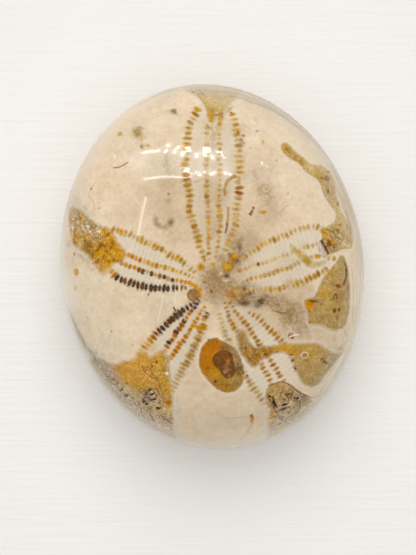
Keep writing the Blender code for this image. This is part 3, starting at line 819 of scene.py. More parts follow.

# Broad tones of the plain stone, with a painted glow at the left and right rims where the
# glow seeds lie: a place, a colour and how far it carries
GROUND_AND_RIM_GLOW = [
    (110, 185, "peach", 30), (150, 115, "cream", 30), (95, 295, "cream", 26),
    (260, 120, "cream", 34), (310, 170, "cream", 26), (150, 192, "buff", 14),
    (255, 215, "buff", 18), (200, 405, "buff", 30), (125, 325, "sand", 26),
    (325, 337, "buff", 12), (358, 300, "pearl", 8), (250, 410, "buff", 24),
    (350, 200, "haze", 9), (345, 180, "fog", 7), (220, 438, "sand", 12), (330, 390, "pearl", 12),
    (295, 300, "dun", 14), (62, 290, "glow", 10), (160, 435, "fog", 8),
    (300, 325, "dun", 12), (60, 240, "glow", 8), (220, 275, "dun", 12),
    (250, 285, "dun", 12), (215, 240, "buff", 12), (246, 240, "dun", 10),
    (213, 200, "dun", 12), (213, 165, "buff", 12), (235, 310, "dun", 12),
    (285, 305, "dun", 12), (250, 320, "dun", 10), (268, 200, "buff", 12),
    (172, 186, "buff", 12), (180, 225, "buff", 12), (66, 330, "pearl", 10),
    (362, 330, "glow", 9), (100, 130, "cream", 20), (185, 100, "peach", 10),
    (300, 110, "cream", 14), (150, 255, "buff", 10), (175, 330, "buff", 10),
    (280, 255, "buff", 12), (292, 262, "dun", 8), (300, 311, "dun", 10),
    (265, 345, "buff", 12), (185, 345, "buff", 12),
    (178, 270, "buff", 10), (190, 320, "buff", 10), (150, 225, "sand", 12),
    (200, 220, "buff", 12), (228, 200, "buff", 12), (160, 305, "haze", 10),
    (285, 178, "pearl", 10), (290, 222, "sand", 12), (230, 160, "buff", 10),
    (125, 215, "sand", 12), (195, 375, "buff", 12), (200, 140, "sand", 10),
    (245, 432, "sand", 10), (190, 432, "sand", 10), (125, 215, "buff", 7),
    (170, 140, "sand", 9), (228, 130, "buff", 7), (205, 180, "dun", 9), (170, 186, "dun", 9),
    (130, 120, "sand", 10), (250, 243, "drab", 6), (213, 222, "dun", 8), (165, 210, "dun", 6),
    (80, 290, "cream", 8),
    (120, 340, "cream", 15), (240, 410, "pearl", 8), (262, 118, "sand", 9),
    (300, 192, "sand", 8), (215, 403, "sand", 9),
    (195, 375, "sand", 8), (190, 425, "sand", 8), (330, 336, "sand", 8),
    (290, 299, "buff", 8), (262, 170, "buff", 10), (271, 215, "dun", 6),
    (150, 163, "haze", 12), (180, 164, "haze", 12), (214, 165, "haze", 14),
    (120, 300, "sand", 8), (175, 230, "buff", 6), (218, 284, "sepia", 7),
    (103, 190, "peach", 12), (220, 150, "fog", 8),
]

# The haze inside the outline: the glassy edge's own tone, with a painted glow. Its pale and
# bright colours paint the light in the thin edge and make up for the shade that falls off
# towards the outline. The way round from the right in degrees, its colour, its strength and
# how many pixels it reaches in
RIM_HAZE_AND_GLOW = [
    (0, "haze", 0.65, 6), (15, "haze", 0.75, 10), (38, "fog", 0.55, 12), (60, "fog", 0.65, 11),
    (75, "fog", 0.7, 12), (92, "fog", 0.6, 6), (110, "shell", 0.85, 9), (130, "shell", 0.85, 10),
    (150, "shell", 0.65, 7), (168, "shine", 0.75, 5), (182, "shine", 1.0, 13),
    (196, "fog", 0.8, 2.5), (212, "fog", 0.7, 4), (226, "fog", 0.65, 4),
    (240, "fog", 0.65, 4), (256, "glow", 0.6, 7), (270, "glow", 0.65, 12),
    (285, "glow", 0.5, 10), (300, "fog", 0.6, 4), (316, "glow", 0.6, 6),
    (330, "glow", 0.45, 5), (345, "shine", 0.6, 7),
]

RIM_HAZE_AND_GLOW_SPREAD = 8  # how far round each of them carries, in degrees
RIM_HAZE_AND_GLOW_DROP = 30  # how far below the girth it carries, in pixels

# Dark and pale bands in the glassy edge. At the upper right the grey bands are partly a
# painted reflection on the steep side. Where they start and end in degrees, how many pixels
# inside the outline they lie at each end, their half width, colour and strength
BANDS = [
    (24, 78, 1.0, 1.4, 0.8, "drab", 0.70), (34, 74, 2.6, 9.4, 1.1, "drab", 0.40),
    (50, 80, 5.8, 10.8, 0.8, "ash", 0.40), (46, 88, 4.0, 6.8, 1.3, "ash", 0.55),
    (6, 26, 3.6, 3.4, 1.2, "ash", 0.55), (2, 24, 8.5, 9.5, 2.0, "ash", 0.55),
    (92, 112, 2.2, 2.6, 0.8, "ash", 0.40), (150, 176, 1.2, 1.4, 0.6, "ash", 0.35),
    (-14, 28, 0.7, 0.7, 0.9, "ash", 0.60), (187, 204, 2.4, 4.4, 1.1, "drab", 0.45),
    (189, 213, 2.6, 10.4, 1.4, "pewter", 0.58), (300, 330, 0.8, 0.8, 0.6, "ash", 0.40),
    (306, 326, 2.6, 2.8, 0.7, "drab", 0.30), (308, 324, 4.6, 5.6, 1.2, "glow", 0.60),
    (342, 362, 1.0, 1.4, 0.6, "ash", 0.45), (335, 358, 4.0, 3.7, 0.6, "ash", 0.35),
]


def smooth_line(points, closed=False, step=1.0):
    """Evenly spaced points on a smooth curve through the given ones."""
    points = np.asarray(points, float)
    if closed:
        padded = np.vstack((points[-1], points, points[:2]))
    else:
        before = 2 * points[0] - points[1]
        after = 2 * points[-1] - points[-2]
        padded = np.vstack((before, points, after))
    fine = []
    for one, two, three, four in zip(padded, padded[1:], padded[2:], padded[3:]):
        for t in np.linspace(0, 1, 12, endpoint=False):
            fine.append(
                two
                + (three - one) * t / 2
                + (2 * one - 5 * two + 4 * three - four) * t ** 2 / 2
                + (3 * two - one - 3 * three + four) * t ** 3 / 2
            )
    if not closed:
        fine.append(points[-1])
    fine = np.array(fine)
    if closed:
        fine = np.vstack((fine, fine[0]))
    run = np.concatenate(([0], np.cumsum(np.linalg.norm(np.diff(fine, axis=0), axis=1))))
    count = max(2, round(run[-1] / step) + 1)
    at = np.linspace(0, run[-1], count)
    return np.column_stack([np.interp(at, run, fine[:, axis]) for axis in (0, 1)])


def off_segment(points, start, end):
    """Distance to a segment, and the share of the way along it."""
    along = end - start
    way = (points - start) @ along / max(along @ along, 1e-18)
    held = np.clip(way, 0, 1)
    return np.linalg.norm(points - start - held[:, None] * along, axis=1), way


def within(skin, points, margin):
    """The numbers of the skin's points in a box round the given ones."""
    low, high = np.min(points, axis=0) - margin, np.max(points, axis=0) + margin
    return np.flatnonzero(((skin > low) & (skin < high)).all(axis=1))


class Marks:
    """One kind of mark: the distance to the nearest edge, under 0 inside, and a colour."""

    REACH = 0.0010

    def __init__(self, skin):
        self.skin = skin
        self.edge = np.full(len(skin), self.REACH)
        self.blur = np.zeros(len(skin))
        self.colour = np.tile(tone("cream"), (len(skin), 1))

    def put(self, where, distance, colour, blur=0.0):
        """Adds a mark, which covers what was there before."""
        before = self.edge[where]
        cover = np.clip(0.5 - distance / (1.4 * PIXEL + 2 * min(blur, PIXEL * 3)), 0, 1)
        cover = np.where((distance < before) & (before > 0), 1.0, cover)
        cover = np.where(distance > self.REACH, 0.0, cover)[:, None]
        self.colour[where] = self.colour[where] * (1 - cover) + np.asarray(colour) * cover
        self.blur[where] = np.where(distance < before, blur, self.blur[where])
        self.edge[where] = np.minimum(before, distance)

    def slit(self, middle, way, length, width, colour, ring=0.0):
        """A slit with tapered ends, from its middle and direction on the skin."""
        where = within(self.skin, [middle], length + self.REACH)
        off = self.skin[where] - middle
        along = np.abs(off @ way) / (length / 2)
        across = np.abs(off @ (-way[1], way[0])) / (width / 2)
        share = (along ** 2.4 + across ** 2.4) ** (1 / 2.4)
        self.put(where, (share - 1) * width / 2, colour, ring)

    def oval(self, middle, right, up, colour, blur=0.0):
        """An oval from its middle and its two half axes on the skin."""
        size = max(np.linalg.norm(right), np.linalg.norm(up))
        where = within(self.skin, [middle], size + self.REACH)
        off = self.skin[where] - middle
        frame_in = np.linalg.inv(np.column_stack((right, up)))
        share = np.linalg.norm(off @ frame_in.T, axis=1)
        smallest = min(np.linalg.norm(right), np.linalg.norm(up))
        self.put(where, (share - 1) * smallest, colour, blur)

    def shape(self, outline, colour):
        """A closed outline on the skin."""
        where = within(self.skin, outline, self.REACH)
        spots = self.skin[where]
        distance = np.full(len(where), np.inf)
        inside = np.zeros(len(where), bool)
        for start, end in zip(outline, np.roll(outline, -1, axis=0)):
            distance = np.minimum(distance, off_segment(spots, start, end)[0])
            crosses = (start[1] > spots[:, 1]) != (end[1] > spots[:, 1])
            rise = end[1] - start[1]
            if abs(rise) > 1e-12:
                at = start[0] + (spots[:, 1] - start[1]) * (end[0] - start[0]) / rise
                inside ^= crosses & (spots[:, 0] < at)
        self.put(where, np.where(inside, -distance, distance), colour)


class Threads:
    """Thin lines on the skin: how far to one side of the nearest, how near it is, and a colour."""

    REACH = 0.0006

    def __init__(self, skin):
        self.skin = skin
        self.side = np.full(len(skin), self.REACH)
        self.near = np.full(len(skin), self.REACH)
        self.half = np.full(len(skin), PIXEL / 2)
        self.colour = np.tile(tone("umber"), (len(skin), 1))

    def draw(self, line, width, colour):
        where = within(self.skin, line, self.REACH)
        spots = self.skin[where]
        best = np.full(len(where), np.inf)
        side = np.zeros(len(where))
        for start, end in zip(line, line[1:]):
            distance, _ = off_segment(spots, start, end)
            along = (end - start) / max(np.linalg.norm(end - start), 1e-12)
            off = spots - start
            cross = along[0] * off[:, 1] - along[1] * off[:, 0]
            better = distance < best
            best = np.where(better, distance, best)
            side = np.where(better, cross, side)
        closer = best < self.near[where]
        chosen = where[closer]
        self.near[chosen] = best[closer]
        self.side[chosen] = side[closer]
        self.half[chosen] = width / 2
        self.colour[chosen] = colour


def closeness(skin, x, y, reach):
    """How close each point is to a place of the photograph, from 1 there down to 0."""
    off = skin - on_skin((x, y))[0]
    return np.exp(-(off ** 2).sum(axis=1) / (2 * (reach * PIXEL) ** 2))


def blended_tones(skin, seeds, rest, rest_weight):
    """A colour for each point, blended from the places nearby that have one."""
    total = np.full(len(skin), rest_weight)
    colour = np.tile(tone(rest) * rest_weight, (len(skin), 1))
    for x, y, name, reach in seeds:
        weight = closeness(skin, x, y, reach) * (10 / reach)
        total += weight
        colour += weight[:, None] * tone(name)
    return colour / total[:, None]


def blended_weight(skin, seeds):
    """How fully the blended colours hold at each point, from 0 far from every one to 1."""
    total = sum(closeness(skin, x, y, reach) for x, y, _, reach in seeds)
    return np.clip(total * 1.5, 0, 1)


def gathered(skin, seeds):
    """How strongly the places nearby that carry a strength reach each point."""
    strength = np.zeros(len(skin))
    for x, y, share, reach in seeds:
        strength = np.maximum(strength, closeness(skin, x, y, reach) * share)
    return strength


def turned_axes(x, y, half_x, half_y, turn_deg):
    """A turned oval in the photograph as a middle and two half axes on the skin."""
    turn = math.radians(turn_deg)
    right = np.array((math.cos(turn), -math.sin(turn))) * half_x
    up = np.array((-math.sin(turn), -math.cos(turn))) * half_y
    middle = np.array((x, y))
    spots = on_skin([middle, middle + right, middle - right, middle + up, middle - up])
    return spots[0], (spots[1] - spots[2]) / 2, (spots[3] - spots[4]) / 2


def mark_pores(marks, grooves, skin):
    """The slits of all rows, and the fine grooves that join the two rows of each pair."""
    lines = {name: smooth_line(row[0], step=row[1]) for name, row in ROWS.items()}
    for name, (_, pitch, length, width, shades, odd) in ROWS.items():
        line = lines[name]
        along = np.gradient(line, axis=0)
        for number, (spot, way) in enumerate(zip(line, along)):
            way = way / np.linalg.norm(way)
            across = np.array((-way[1], way[0]))
            # A little out of line, and turned and sized a little by chance
            spot = spot + way * dice.gauss(0, 0.22) + across * dice.gauss(0, 0.35)
            across = across + way * dice.gauss(0, 0.10)
            grow = 0.62 + 0.38 * min(1, number / 5)  # the first ones are smaller
            ends = on_skin([spot - across * length / 2, spot + across * length / 2])
            middle = on_skin(spot)[0]
            span = ends[1] - ends[0]
            long = np.linalg.norm(span) * grow * dice.uniform(0.80, 1.16)
            wide = width * PIXEL * grow * dice.uniform(0.84, 1.20)
            share = number / len(line) * 2
            near = int(share)
            colour = tone(shades[near]) * (1 - share + near)
            colour += tone(shades[min(near + 1, 2)]) * (share - near)
            colour *= dice.uniform(0.80, 1.20)
            if number in odd:
                colour = tone(odd[number], dice.uniform(0.9, 1.1))
            ring = PIXEL * dice.uniform(0.5, 1.0) if colour.sum() < 0.15 else 0.0
            faint = max(dice.uniform(-0.10, 0.42), 0.0) if colour[2] > 0.03 else 0.0
            colour = colour * (1 - faint) + tone("haze") * faint
            marks.slit(middle, span / np.linalg.norm(span), long, wide, colour, ring)
    for rows, _ in PETALS.values():
        for outer, inner in ((rows[0], rows[1]), (rows[3], rows[2])):
            for spot in lines[outer]:
                near = lines[inner][np.argmin(np.linalg.norm(lines[inner] - spot, axis=1))]
                ends = on_skin([spot, near])
                distance, _ = off_segment(skin, ends[0], ends[1])
                np.maximum(grooves, np.exp(-(distance / (0.9 * PIXEL)) ** 2), out=grooves)
    return lines


def mark_petals(lines, skin):
    """How white the stone is in each petal, most between an outer row and its inner row."""
    white = np.zeros(len(skin))
    for rows, strength in PETALS.values():
        left, left_inner, right_inner, right = (lines[row] for row in rows)
        for one, other, share in (
            (left, left_inner, 1.0), (right_inner, right, 1.0), (left_inner, right_inner, 0.5),
        ):
            strip = Marks(skin)
            strip.shape(on_skin(np.vstack((one, other[::-1]))), tone("milk"))
            inside = np.clip(0.7 - strip.edge / (5 * PIXEL), 0, 1)
            white = np.maximum(white, inside * strength * share)
    return white


def down_from(start_arc, skin):
    """How far down the side each point lies under a level of the stone, in metres."""
    arc = np.linalg.norm(skin @ np.linalg.inv(OVAL).T, axis=1)
    return np.clip(arc - start_arc, 0, None) * MEAN_RADIUS


def mark_rim_haze_and_painted_light(place, skin):
    """The haze near the girth, where the stone is thin and glassy, with its painted glow and
    painted reflection: its strength and colour.
    """
    below = down_from(GIRTH_ARC, skin) / PIXEL
    over = np.array((CAMERA_X, CAMERA_Y))
    nearness = (CAMERA_HEIGHT - GIRTH_HEIGHT) / (CAMERA_HEIGHT - place[:, 2])
    seen = ((place[:, :2] - over) * nearness[:, None] + over) @ np.linalg.inv(OVAL).T
    inset = (1 - np.linalg.norm(seen, axis=1)) * MEAN_RADIUS / PIXEL
    inset = np.where(below > 0, -below, inset)
    way = np.degrees(np.arctan2(seen[:, 1], seen[:, 0]))
    total = np.full(len(skin), 1e-6)
    strength = np.zeros(len(skin))
    colour = np.tile(tone("fog") * 1e-6, (len(skin), 1))
    for degrees, name, share, depth in RIM_HAZE_AND_GLOW:
        off = (way - degrees + 180) % 360 - 180
        weight = np.exp(-(off / RIM_HAZE_AND_GLOW_SPREAD) ** 2)
        reached = np.exp(-(np.clip(inset, 0, None) / depth) ** 2 - (below / RIM_HAZE_AND_GLOW_DROP) ** 2)
        strength += weight * share * reached
        colour += weight[:, None] * tone(name)
        total += weight
    strength, colour = strength / total, colour / total[:, None]
    for start, end, first, last, half, name, share in BANDS:
        middle, reach = (start + end) / 2, (end - start) / 2
        off = (way - middle + 180) % 360 - 180
        at = first + (last - first) * (off / reach + 1) / 2
        wave = 0.35 * np.sin(way / 2.3) + 0.25 * np.sin(way / 0.9)
        at = at + wave * np.clip(at / 6, 0, 1)
        here = share * np.exp(-((inset - at) / half) ** 2 - (off / reach) ** 6)
        both = here + strength * (1 - here)
        mixed = here[:, None] * tone(name) + (strength * (1 - here))[:, None] * colour
        colour = mixed / np.maximum(both, 1e-6)[:, None]
        strength = both
    return strength, colour


def mark_stains_and_shade(skin):
    """Soft stains and painted shade: their strength and their colour."""
    strength = np.zeros(len(skin))
    colour = np.tile(tone("umber") * 1e-6, (len(skin), 1))
    total = np.full(len(skin), 1e-6)
    for x, y, half_x, half_y, turn, name, weight in STAINS_AND_SHADE:
        middle, right, up = turned_axes(x, y, half_x, half_y, turn)
        frame_in = np.linalg.inv(np.column_stack((right, up)))
        off = (skin - middle) @ frame_in.T
        here = weight * np.exp(-(off ** 2).sum(axis=1) * 0.9)
        strength = 1 - (1 - strength) * (1 - here)
        colour += here[:, None] * tone(name)
        total += here
    return strength, colour / total[:, None]


def mark_underside(place):
    """The marks of the base: five lines of paired pores, the mouth and the vent."""
    spots = np.where((place[:, 2] < BASE_LEVEL)[:, None], place[:, :2], 1.0)
    pores, hollows = Marks(spots), Marks(spots)
    start, pitch, length, width = 0.0032, 0.00055, 0.00042, 0.00026
    for number in range(5):
        way = np.array((math.sin(number * 2 * math.pi / 5), math.cos(number * 2 * math.pi / 5)))
        across = np.array((-way[1], way[0]))
        reach = np.linalg.norm(np.linalg.solve(OVAL, way))
        for step in range(int((0.9 / reach - start) / pitch)):
            along = start + step * pitch
            apart = 0.00045 + 0.03 * along
            for side in (-apart, apart):
                colour = tone(dice.choice(["olive", "tan", "umber"]), dice.uniform(0.8, 1.1))
                pores.slit(way * along + across * side, across, length, width, colour)
    turns = np.linspace(0, 2 * math.pi, 40, endpoint=False)
    ring = np.column_stack((np.cos(turns), np.sin(turns)))
    hollows.shape(ring * MOUTH_RADIUS * 1.05, tone("tan"))
    hollows.shape(VENT_CENTRE + ring * np.array(VENT_HALF_SIZES[:2]) * 1.1, tone("ash"))
    return pores, hollows


def mark_stone(block, place, skin):
    """Works out every marking and leaves it on the mesh. Returns those that are sunk."""
    pores, hollows, spots, threads = Marks(skin), Marks(skin), Marks(skin), Threads(skin)
    grooves = np.zeros(len(skin))
    lines = mark_pores(pores, grooves, skin)
    white = mark_petals(lines, skin)
    coarseness, softness = np.zeros(len(skin)), np.zeros(len(skin))
    for label, outline, name in HOLLOWS:
        before = hollows.edge.copy()
        hollows.shape(on_skin(smooth_line(outline, closed=True, step=2.0)), tone(name))
        changed = hollows.edge < before
        coarseness[changed], softness[changed] = INFILL[label]
    coarseness = np.clip(coarseness + gathered(skin, COARSER), 0, 1)
    down = down_from(SIDE_ARC, skin)
    hollows.edge += SIDE_DRAW * down + SIDE_DRAW_SQUARED * down ** 2
    softness = np.clip(softness + down / SIDE_BLUR, 0, 1)
    spots.shape(on_skin(smooth_line(NUCLEUS, closed=True, step=2.0)), tone("chestnut"))
    for x, y, half_x, half_y, turn, name, *blur in SPOTS:
        middle, right, up = turned_axes(x, y, half_x, half_y, turn)
        spots.oval(middle, right, up, tone(name), sum(blur) * PIXEL)
    for points, width, name in LINES:
        threads.draw(on_skin(smooth_line(points, step=1.5)), width * PIXEL, tone(name))
    for whole, under in zip((pores, hollows), mark_underside(place)):
        whole.put(np.arange(len(place)), under.edge, under.colour)
    stain_and_shade, stain_and_shade_colour = mark_stains_and_shade(skin)
    ground_and_rim_glow = blended_tones(skin, GROUND_AND_RIM_GLOW, "cream", 0.35)
    own = hollows.colour
    fill = blended_tones(skin, HOLLOW_TONES, "tan", 1e-4)
    close = blended_weight(skin, HOLLOW_TONES)
    fill = own + (fill - own) * close[:, None]
    # The rim haze: the glassy edge's tone, with a painted glow and a painted reflection
    haze, rim_haze_and_painted_light_colour = mark_rim_haze_and_painted_light(place, skin)
    numbers = {
        "pore_edge": pores.edge, "pore_ring": pores.blur / PIXEL, "hollow_edge": hollows.edge,
        "coarseness": coarseness, "softness": softness,
        "fading": np.clip(down / SIDE_FADE, 0, 1) * (place[:, 2] > BASE_LEVEL),
        "haze": haze, "worms": gathered(skin, WORMS), "spot_edge": spots.edge,
        "spot_blur": spots.blur, "thread_side": threads.side, "thread_near": threads.near,
        "thread_half": threads.half, "whiteness": white, "groove": grooves, "stain_and_shade": stain_and_shade,
    }
    colours = {
        "pore_colour": pores.colour, "hollow_colour": fill, "rim_haze_and_painted_light_colour": rim_haze_and_painted_light_colour,
        "spot_colour": spots.colour, "thread_colour": threads.colour,
        "stain_and_shade_colour": stain_and_shade_colour, "ground_and_rim_glow_colour": ground_and_rim_glow,
    }
    mesh = block.data
    for name, values in numbers.items():
        layer = mesh.attributes.new(name, "FLOAT", "POINT")
        layer.data.foreach_set("value", values)
    for name, values in colours.items():
        layer = mesh.attributes.new(name, "FLOAT_VECTOR", "POINT")
        layer.data.foreach_set("vector", np.ascontiguousarray(values, dtype=np.float32).ravel())
    return pores, hollows, grooves * white


def carve(block, place, pores, hollows, grooves):
    """Lets the pores, grooves and hollows lie a hair below the polish."""
    mesh = block.data
    normals = np.empty(len(place) * 3)
    mesh.vertex_normals.foreach_get("vector", normals)
    sunk = PORE_DEPTH * np.clip(0.5 - pores.edge / (2.4 * PIXEL), 0, 1)
    sunk += GROOVE_DEPTH * grooves
    sunk += HOLLOW_DEPTH * np.clip(0.5 - hollows.edge / (4 * PIXEL), 0, 1)
    sunken = place - normals.reshape(-1, 3) * sunk[:, None]
    mesh.vertices.foreach_set("co", sunken.ravel())
    mesh.update()


# Materials

# What darkens or lightens the stone and its infill, as shares of their own colour
DIMMER = (0.88, 0.84, 0.79, 1.0)
CLEARER = (1.11, 1.13, 1.17, 1.0)
DEEPER = (0.66, 0.58, 0.42, 1.0)
DEEPEST = (0.36, 0.27, 0.16, 1.0)
LIGHTER = (1.30, 1.36, 1.60, 1.0)


class Value:
    """A number that changes over a surface. Arithmetic on it adds Math nodes."""

    def __init__(self, finish, socket):
        self.finish = finish
        self.socket = socket

    def apply(self, operation, *others):
        made = self.finish.node(
            "ShaderNodeMath", {"operation": operation}, dict(enumerate((self, *others)))
        )
        return Value(self.finish, made.outputs[0])

    def __add__(self, other):
        return self.apply("ADD", other)

    __radd__ = __add__

    def __sub__(self, other):
        return self.apply("SUBTRACT", other)

    def __rsub__(self, other):
        return (self * -1) + other

    def __mul__(self, other):
        return self.apply("MULTIPLY", other)

    __rmul__ = __mul__

    def __abs__(self):
        return self.apply("ABSOLUTE")

    def least(self, other):
        return self.apply("MINIMUM", other)


class Finish:
    """A material being made, with short ways to add its nodes."""

    def __init__(self, name):
        self.material = bpy.data.materials.new(name)
        self.material.use_nodes = True
        self.tree = self.material.node_tree
        self.shader = self.tree.nodes["Principled BSDF"]
        self.spot = self.node("ShaderNodeTexCoord").outputs["Object"]

    def node(self, kind, settings=None, inputs=None):
        made = self.tree.nodes.new(kind)
        for name, setting in (settings or {}).items():
            setattr(made, name, setting)
        for name, given in (inputs or {}).items():
            self.feed(made.inputs[name], given)
        return made

    def feed(self, socket, given):
        if isinstance(given, Value):
            given = given.socket
        if isinstance(given, bpy.types.NodeSocket):
            self.tree.links.new(given, socket)
        else:
            socket.default_value = given

    def number(self, name):
        made = self.node("ShaderNodeAttribute", {"attribute_name": name})
        return Value(self, made.outputs["Fac"])

    def colour(self, name):
        return self.node("ShaderNodeAttribute", {"attribute_name": name}).outputs["Color"]

    def noise(self, size, detail=3.0, roughness=0.5, distortion=0.0):
        """Noise from 0 to 1 with lumps of about the given size in metres."""
        made = self.node("ShaderNodeTexNoise", {}, {
            "Vector": self.spot,
            "Scale": 1 / size,
            "Detail": detail,
            "Roughness": roughness,
            "Distortion": distortion,
        })
        return Value(self, made.outputs["Fac"])

    def cells(self, size):
        """How far a point is from the middle of its cell, for cells of about the given size."""
        made = self.node("ShaderNodeTexVoronoi", {}, {"Vector": self.spot, "Scale": 1 / size})
        return Value(self, made.outputs["Distance"])

    def ramp(self, value, low, high):
        """0 at low and 1 at high, with a soft start and end."""
        made = self.node("ShaderNodeMapRange", {"interpolation_type": "SMOOTHSTEP"}, {
            "Value": value,
            "From Min": low,
            "From Max": high,
        })
        return Value(self, made.outputs["Result"])

    def mix(self, share, one, two, kind="MIX"):
        """The first colour, with the second laid over it by the share."""
        made = self.node("ShaderNodeMix", {"data_type": "RGBA", "blend_type": kind})
        self.feed(made.inputs[0], share)
        self.feed(made.inputs[6], self.paint(one))
        self.feed(made.inputs[7], self.paint(two))
        return made.outputs[2]

    def times(self, share, colour, factor):
        """The colour, multiplied by a factor as far as the share says."""
        return self.mix(share, colour, factor, "MULTIPLY")

    def surface(self, values):
        """Sets what the shader is to show."""
        for name, given in values.items():
            self.feed(self.shader.inputs[name], given)

    def paint(self, colour):
        if isinstance(colour, str):
            return (*tone(colour), 1.0)
        return colour


def plain_stone(f, broad, cloud, fine):
    """Cream stone, clouded a little, with faint veins and specks."""
    # The ground colour holds the painted glow at the left and right rims
    colour = f.colour("ground_and_rim_glow_colour")
    middling = f.noise(0.0009, 3, 0.6)
    for noise, share in ((broad, 0.36), (cloud, 0.32), (middling, 0.28), (fine, 0.34)):
        colour = f.times(f.ramp(noise, 0.48, 0.68) * share, colour, DIMMER)
        colour = f.times(f.ramp(noise, 0.50, 0.30) * share, colour, CLEARER)
    crack = abs(f.noise(0.0028, 4, 0.6, 1.2) - 0.48)
    colour = f.mix(f.ramp(crack, 0.006, 0.0) * f.ramp(cloud, 0.52, 0.62) * 0.25, colour, "tan")
    speck = f.ramp(f.cells(0.0015), 0.075, 0.04) * f.ramp(broad, 0.52, 0.60)
    return f.mix(speck * 0.45, colour, "umber")


def petals_over(f, colour, cloud, fine, grain):
    """The white petals with their fine grooves."""
    white = f.number("whiteness")
    colour = f.mix(white * (0.35 + 0.60 * cloud), colour, "fog")
    colour = f.mix(white * f.ramp(fine + cloud * 0.5, 0.68, 0.90) * 0.60, colour, "chalk")
    groove = f.ramp(f.number("groove") + (fine - 0.5) * 1.6, 0.30, 0.95)
    colour = f.times(white * groove * 0.35, colour, DIMMER)
    ridge = f.ramp(f.number("groove") + (fine - 0.5) * 1.0, 0.30, 0.0)
    colour = f.times(white * ridge * 0.25, colour, CLEARER)
    return f.times(white * f.ramp(grain, 0.48, 0.64) * 0.75, colour, DIMMER)


def granules(f):
    """Loose crystals: a random number for each, and how near a point is to the gap between two."""
    drift = f.node("ShaderNodeTexNoise", {}, {
        "Vector": f.spot, "Scale": 2200.0, "Detail": 4.0, "Roughness": 0.7,
    })
    warped = f.node("ShaderNodeVectorMath", {"operation": "MULTIPLY_ADD"}, {
        0: drift.outputs["Color"], 1: (0.0010, 0.0010, 0.0010), 2: f.spot,
    })
    made = f.node("ShaderNodeTexVoronoi", {}, {
        "Vector": warped.outputs[0], "Scale": 1 / 0.00034,
    })
    return Value(f, made.outputs["Color"]) * 1.0, Value(f, made.outputs["Distance"])


def infill(f, cloud, fine, grain):
    """Crystals and mud that fill the hollows: smooth in some, coarse and glittering in others."""
    fill = f.colour("hollow_colour")
    coarse = f.number("coarseness")
    lumps = f.noise(0.0011, 3, 0.6, 0.6)
    fill = f.times(f.ramp(lumps, 0.50, 0.68) * 0.40, fill, DEEPER)
    fill = f.times(f.ramp(lumps, 0.48, 0.32) * 0.45, fill, LIGHTER)
    luck, gap = granules(f)
    fill = f.times(f.ramp(luck, 0.42, 0.26) * coarse * 0.85, fill, DEEPEST)
    fill = f.times(f.ramp(luck, 0.52, 0.66) * coarse * 0.8, fill, LIGHTER)
    # The palest crystals in cream: pale crystals with painted glints
    fill = f.mix(f.ramp(luck, 0.64, 0.74) * coarse * coarse * 0.9, fill, "cream")
    fill = f.times(f.ramp(gap, 0.40, 0.70) * coarse * 0.8, fill, DEEPER)
    rough = coarse + 0.40
    fill = f.times(f.ramp(fine, 0.47, 0.62) * 0.60 * rough, fill, DEEPER)
    fill = f.times(f.ramp(fine, 0.50, 0.36) * 0.50 * rough, fill, LIGHTER)
    fill = f.times(f.ramp(grain, 0.50, 0.62) * 0.50 * rough, fill, DEEPER)
    fill = f.times(f.ramp(grain, 0.50, 0.38) * 0.40 * rough, fill, LIGHTER)
    worms = f.number("worms") * f.ramp(cloud, 0.34, 0.46)
    run = f.noise(0.0008, 2, 0.5, 1.6)
    broken = f.ramp(fine, 0.44, 0.54)
    pale = f.ramp(abs(run - 0.580), 0.050, 0.020) * worms
    fill = f.times(pale * 0.80, fill, LIGHTER)
    fill = f.mix(pale * coarse, fill, "cream")
    fill = f.times(f.ramp(abs(run - 0.490), 0.045, 0.016) * worms * broken, fill, DEEPEST)
    fill = f.mix(f.ramp(abs(run - 0.380), 0.040, 0.012) * worms * 0.60, fill, "umber")
    short = f.noise(0.00045, 3, 0.6, 2.0)
    pale = f.ramp(abs(short - 0.600), 0.070, 0.030) * worms
    fill = f.times(pale * 0.80, fill, LIGHTER)
    fill = f.mix(pale * coarse, fill, "cream")
    fill = f.times(f.ramp(abs(short - 0.430), 0.060, 0.020) * worms * 0.80, fill, DEEPEST)
    dots = f.ramp(f.cells(0.0009), 0.13, 0.07) * f.ramp(fine, 0.45, 0.55)
    return f.mix(dots * 0.75, fill, "cocoa")


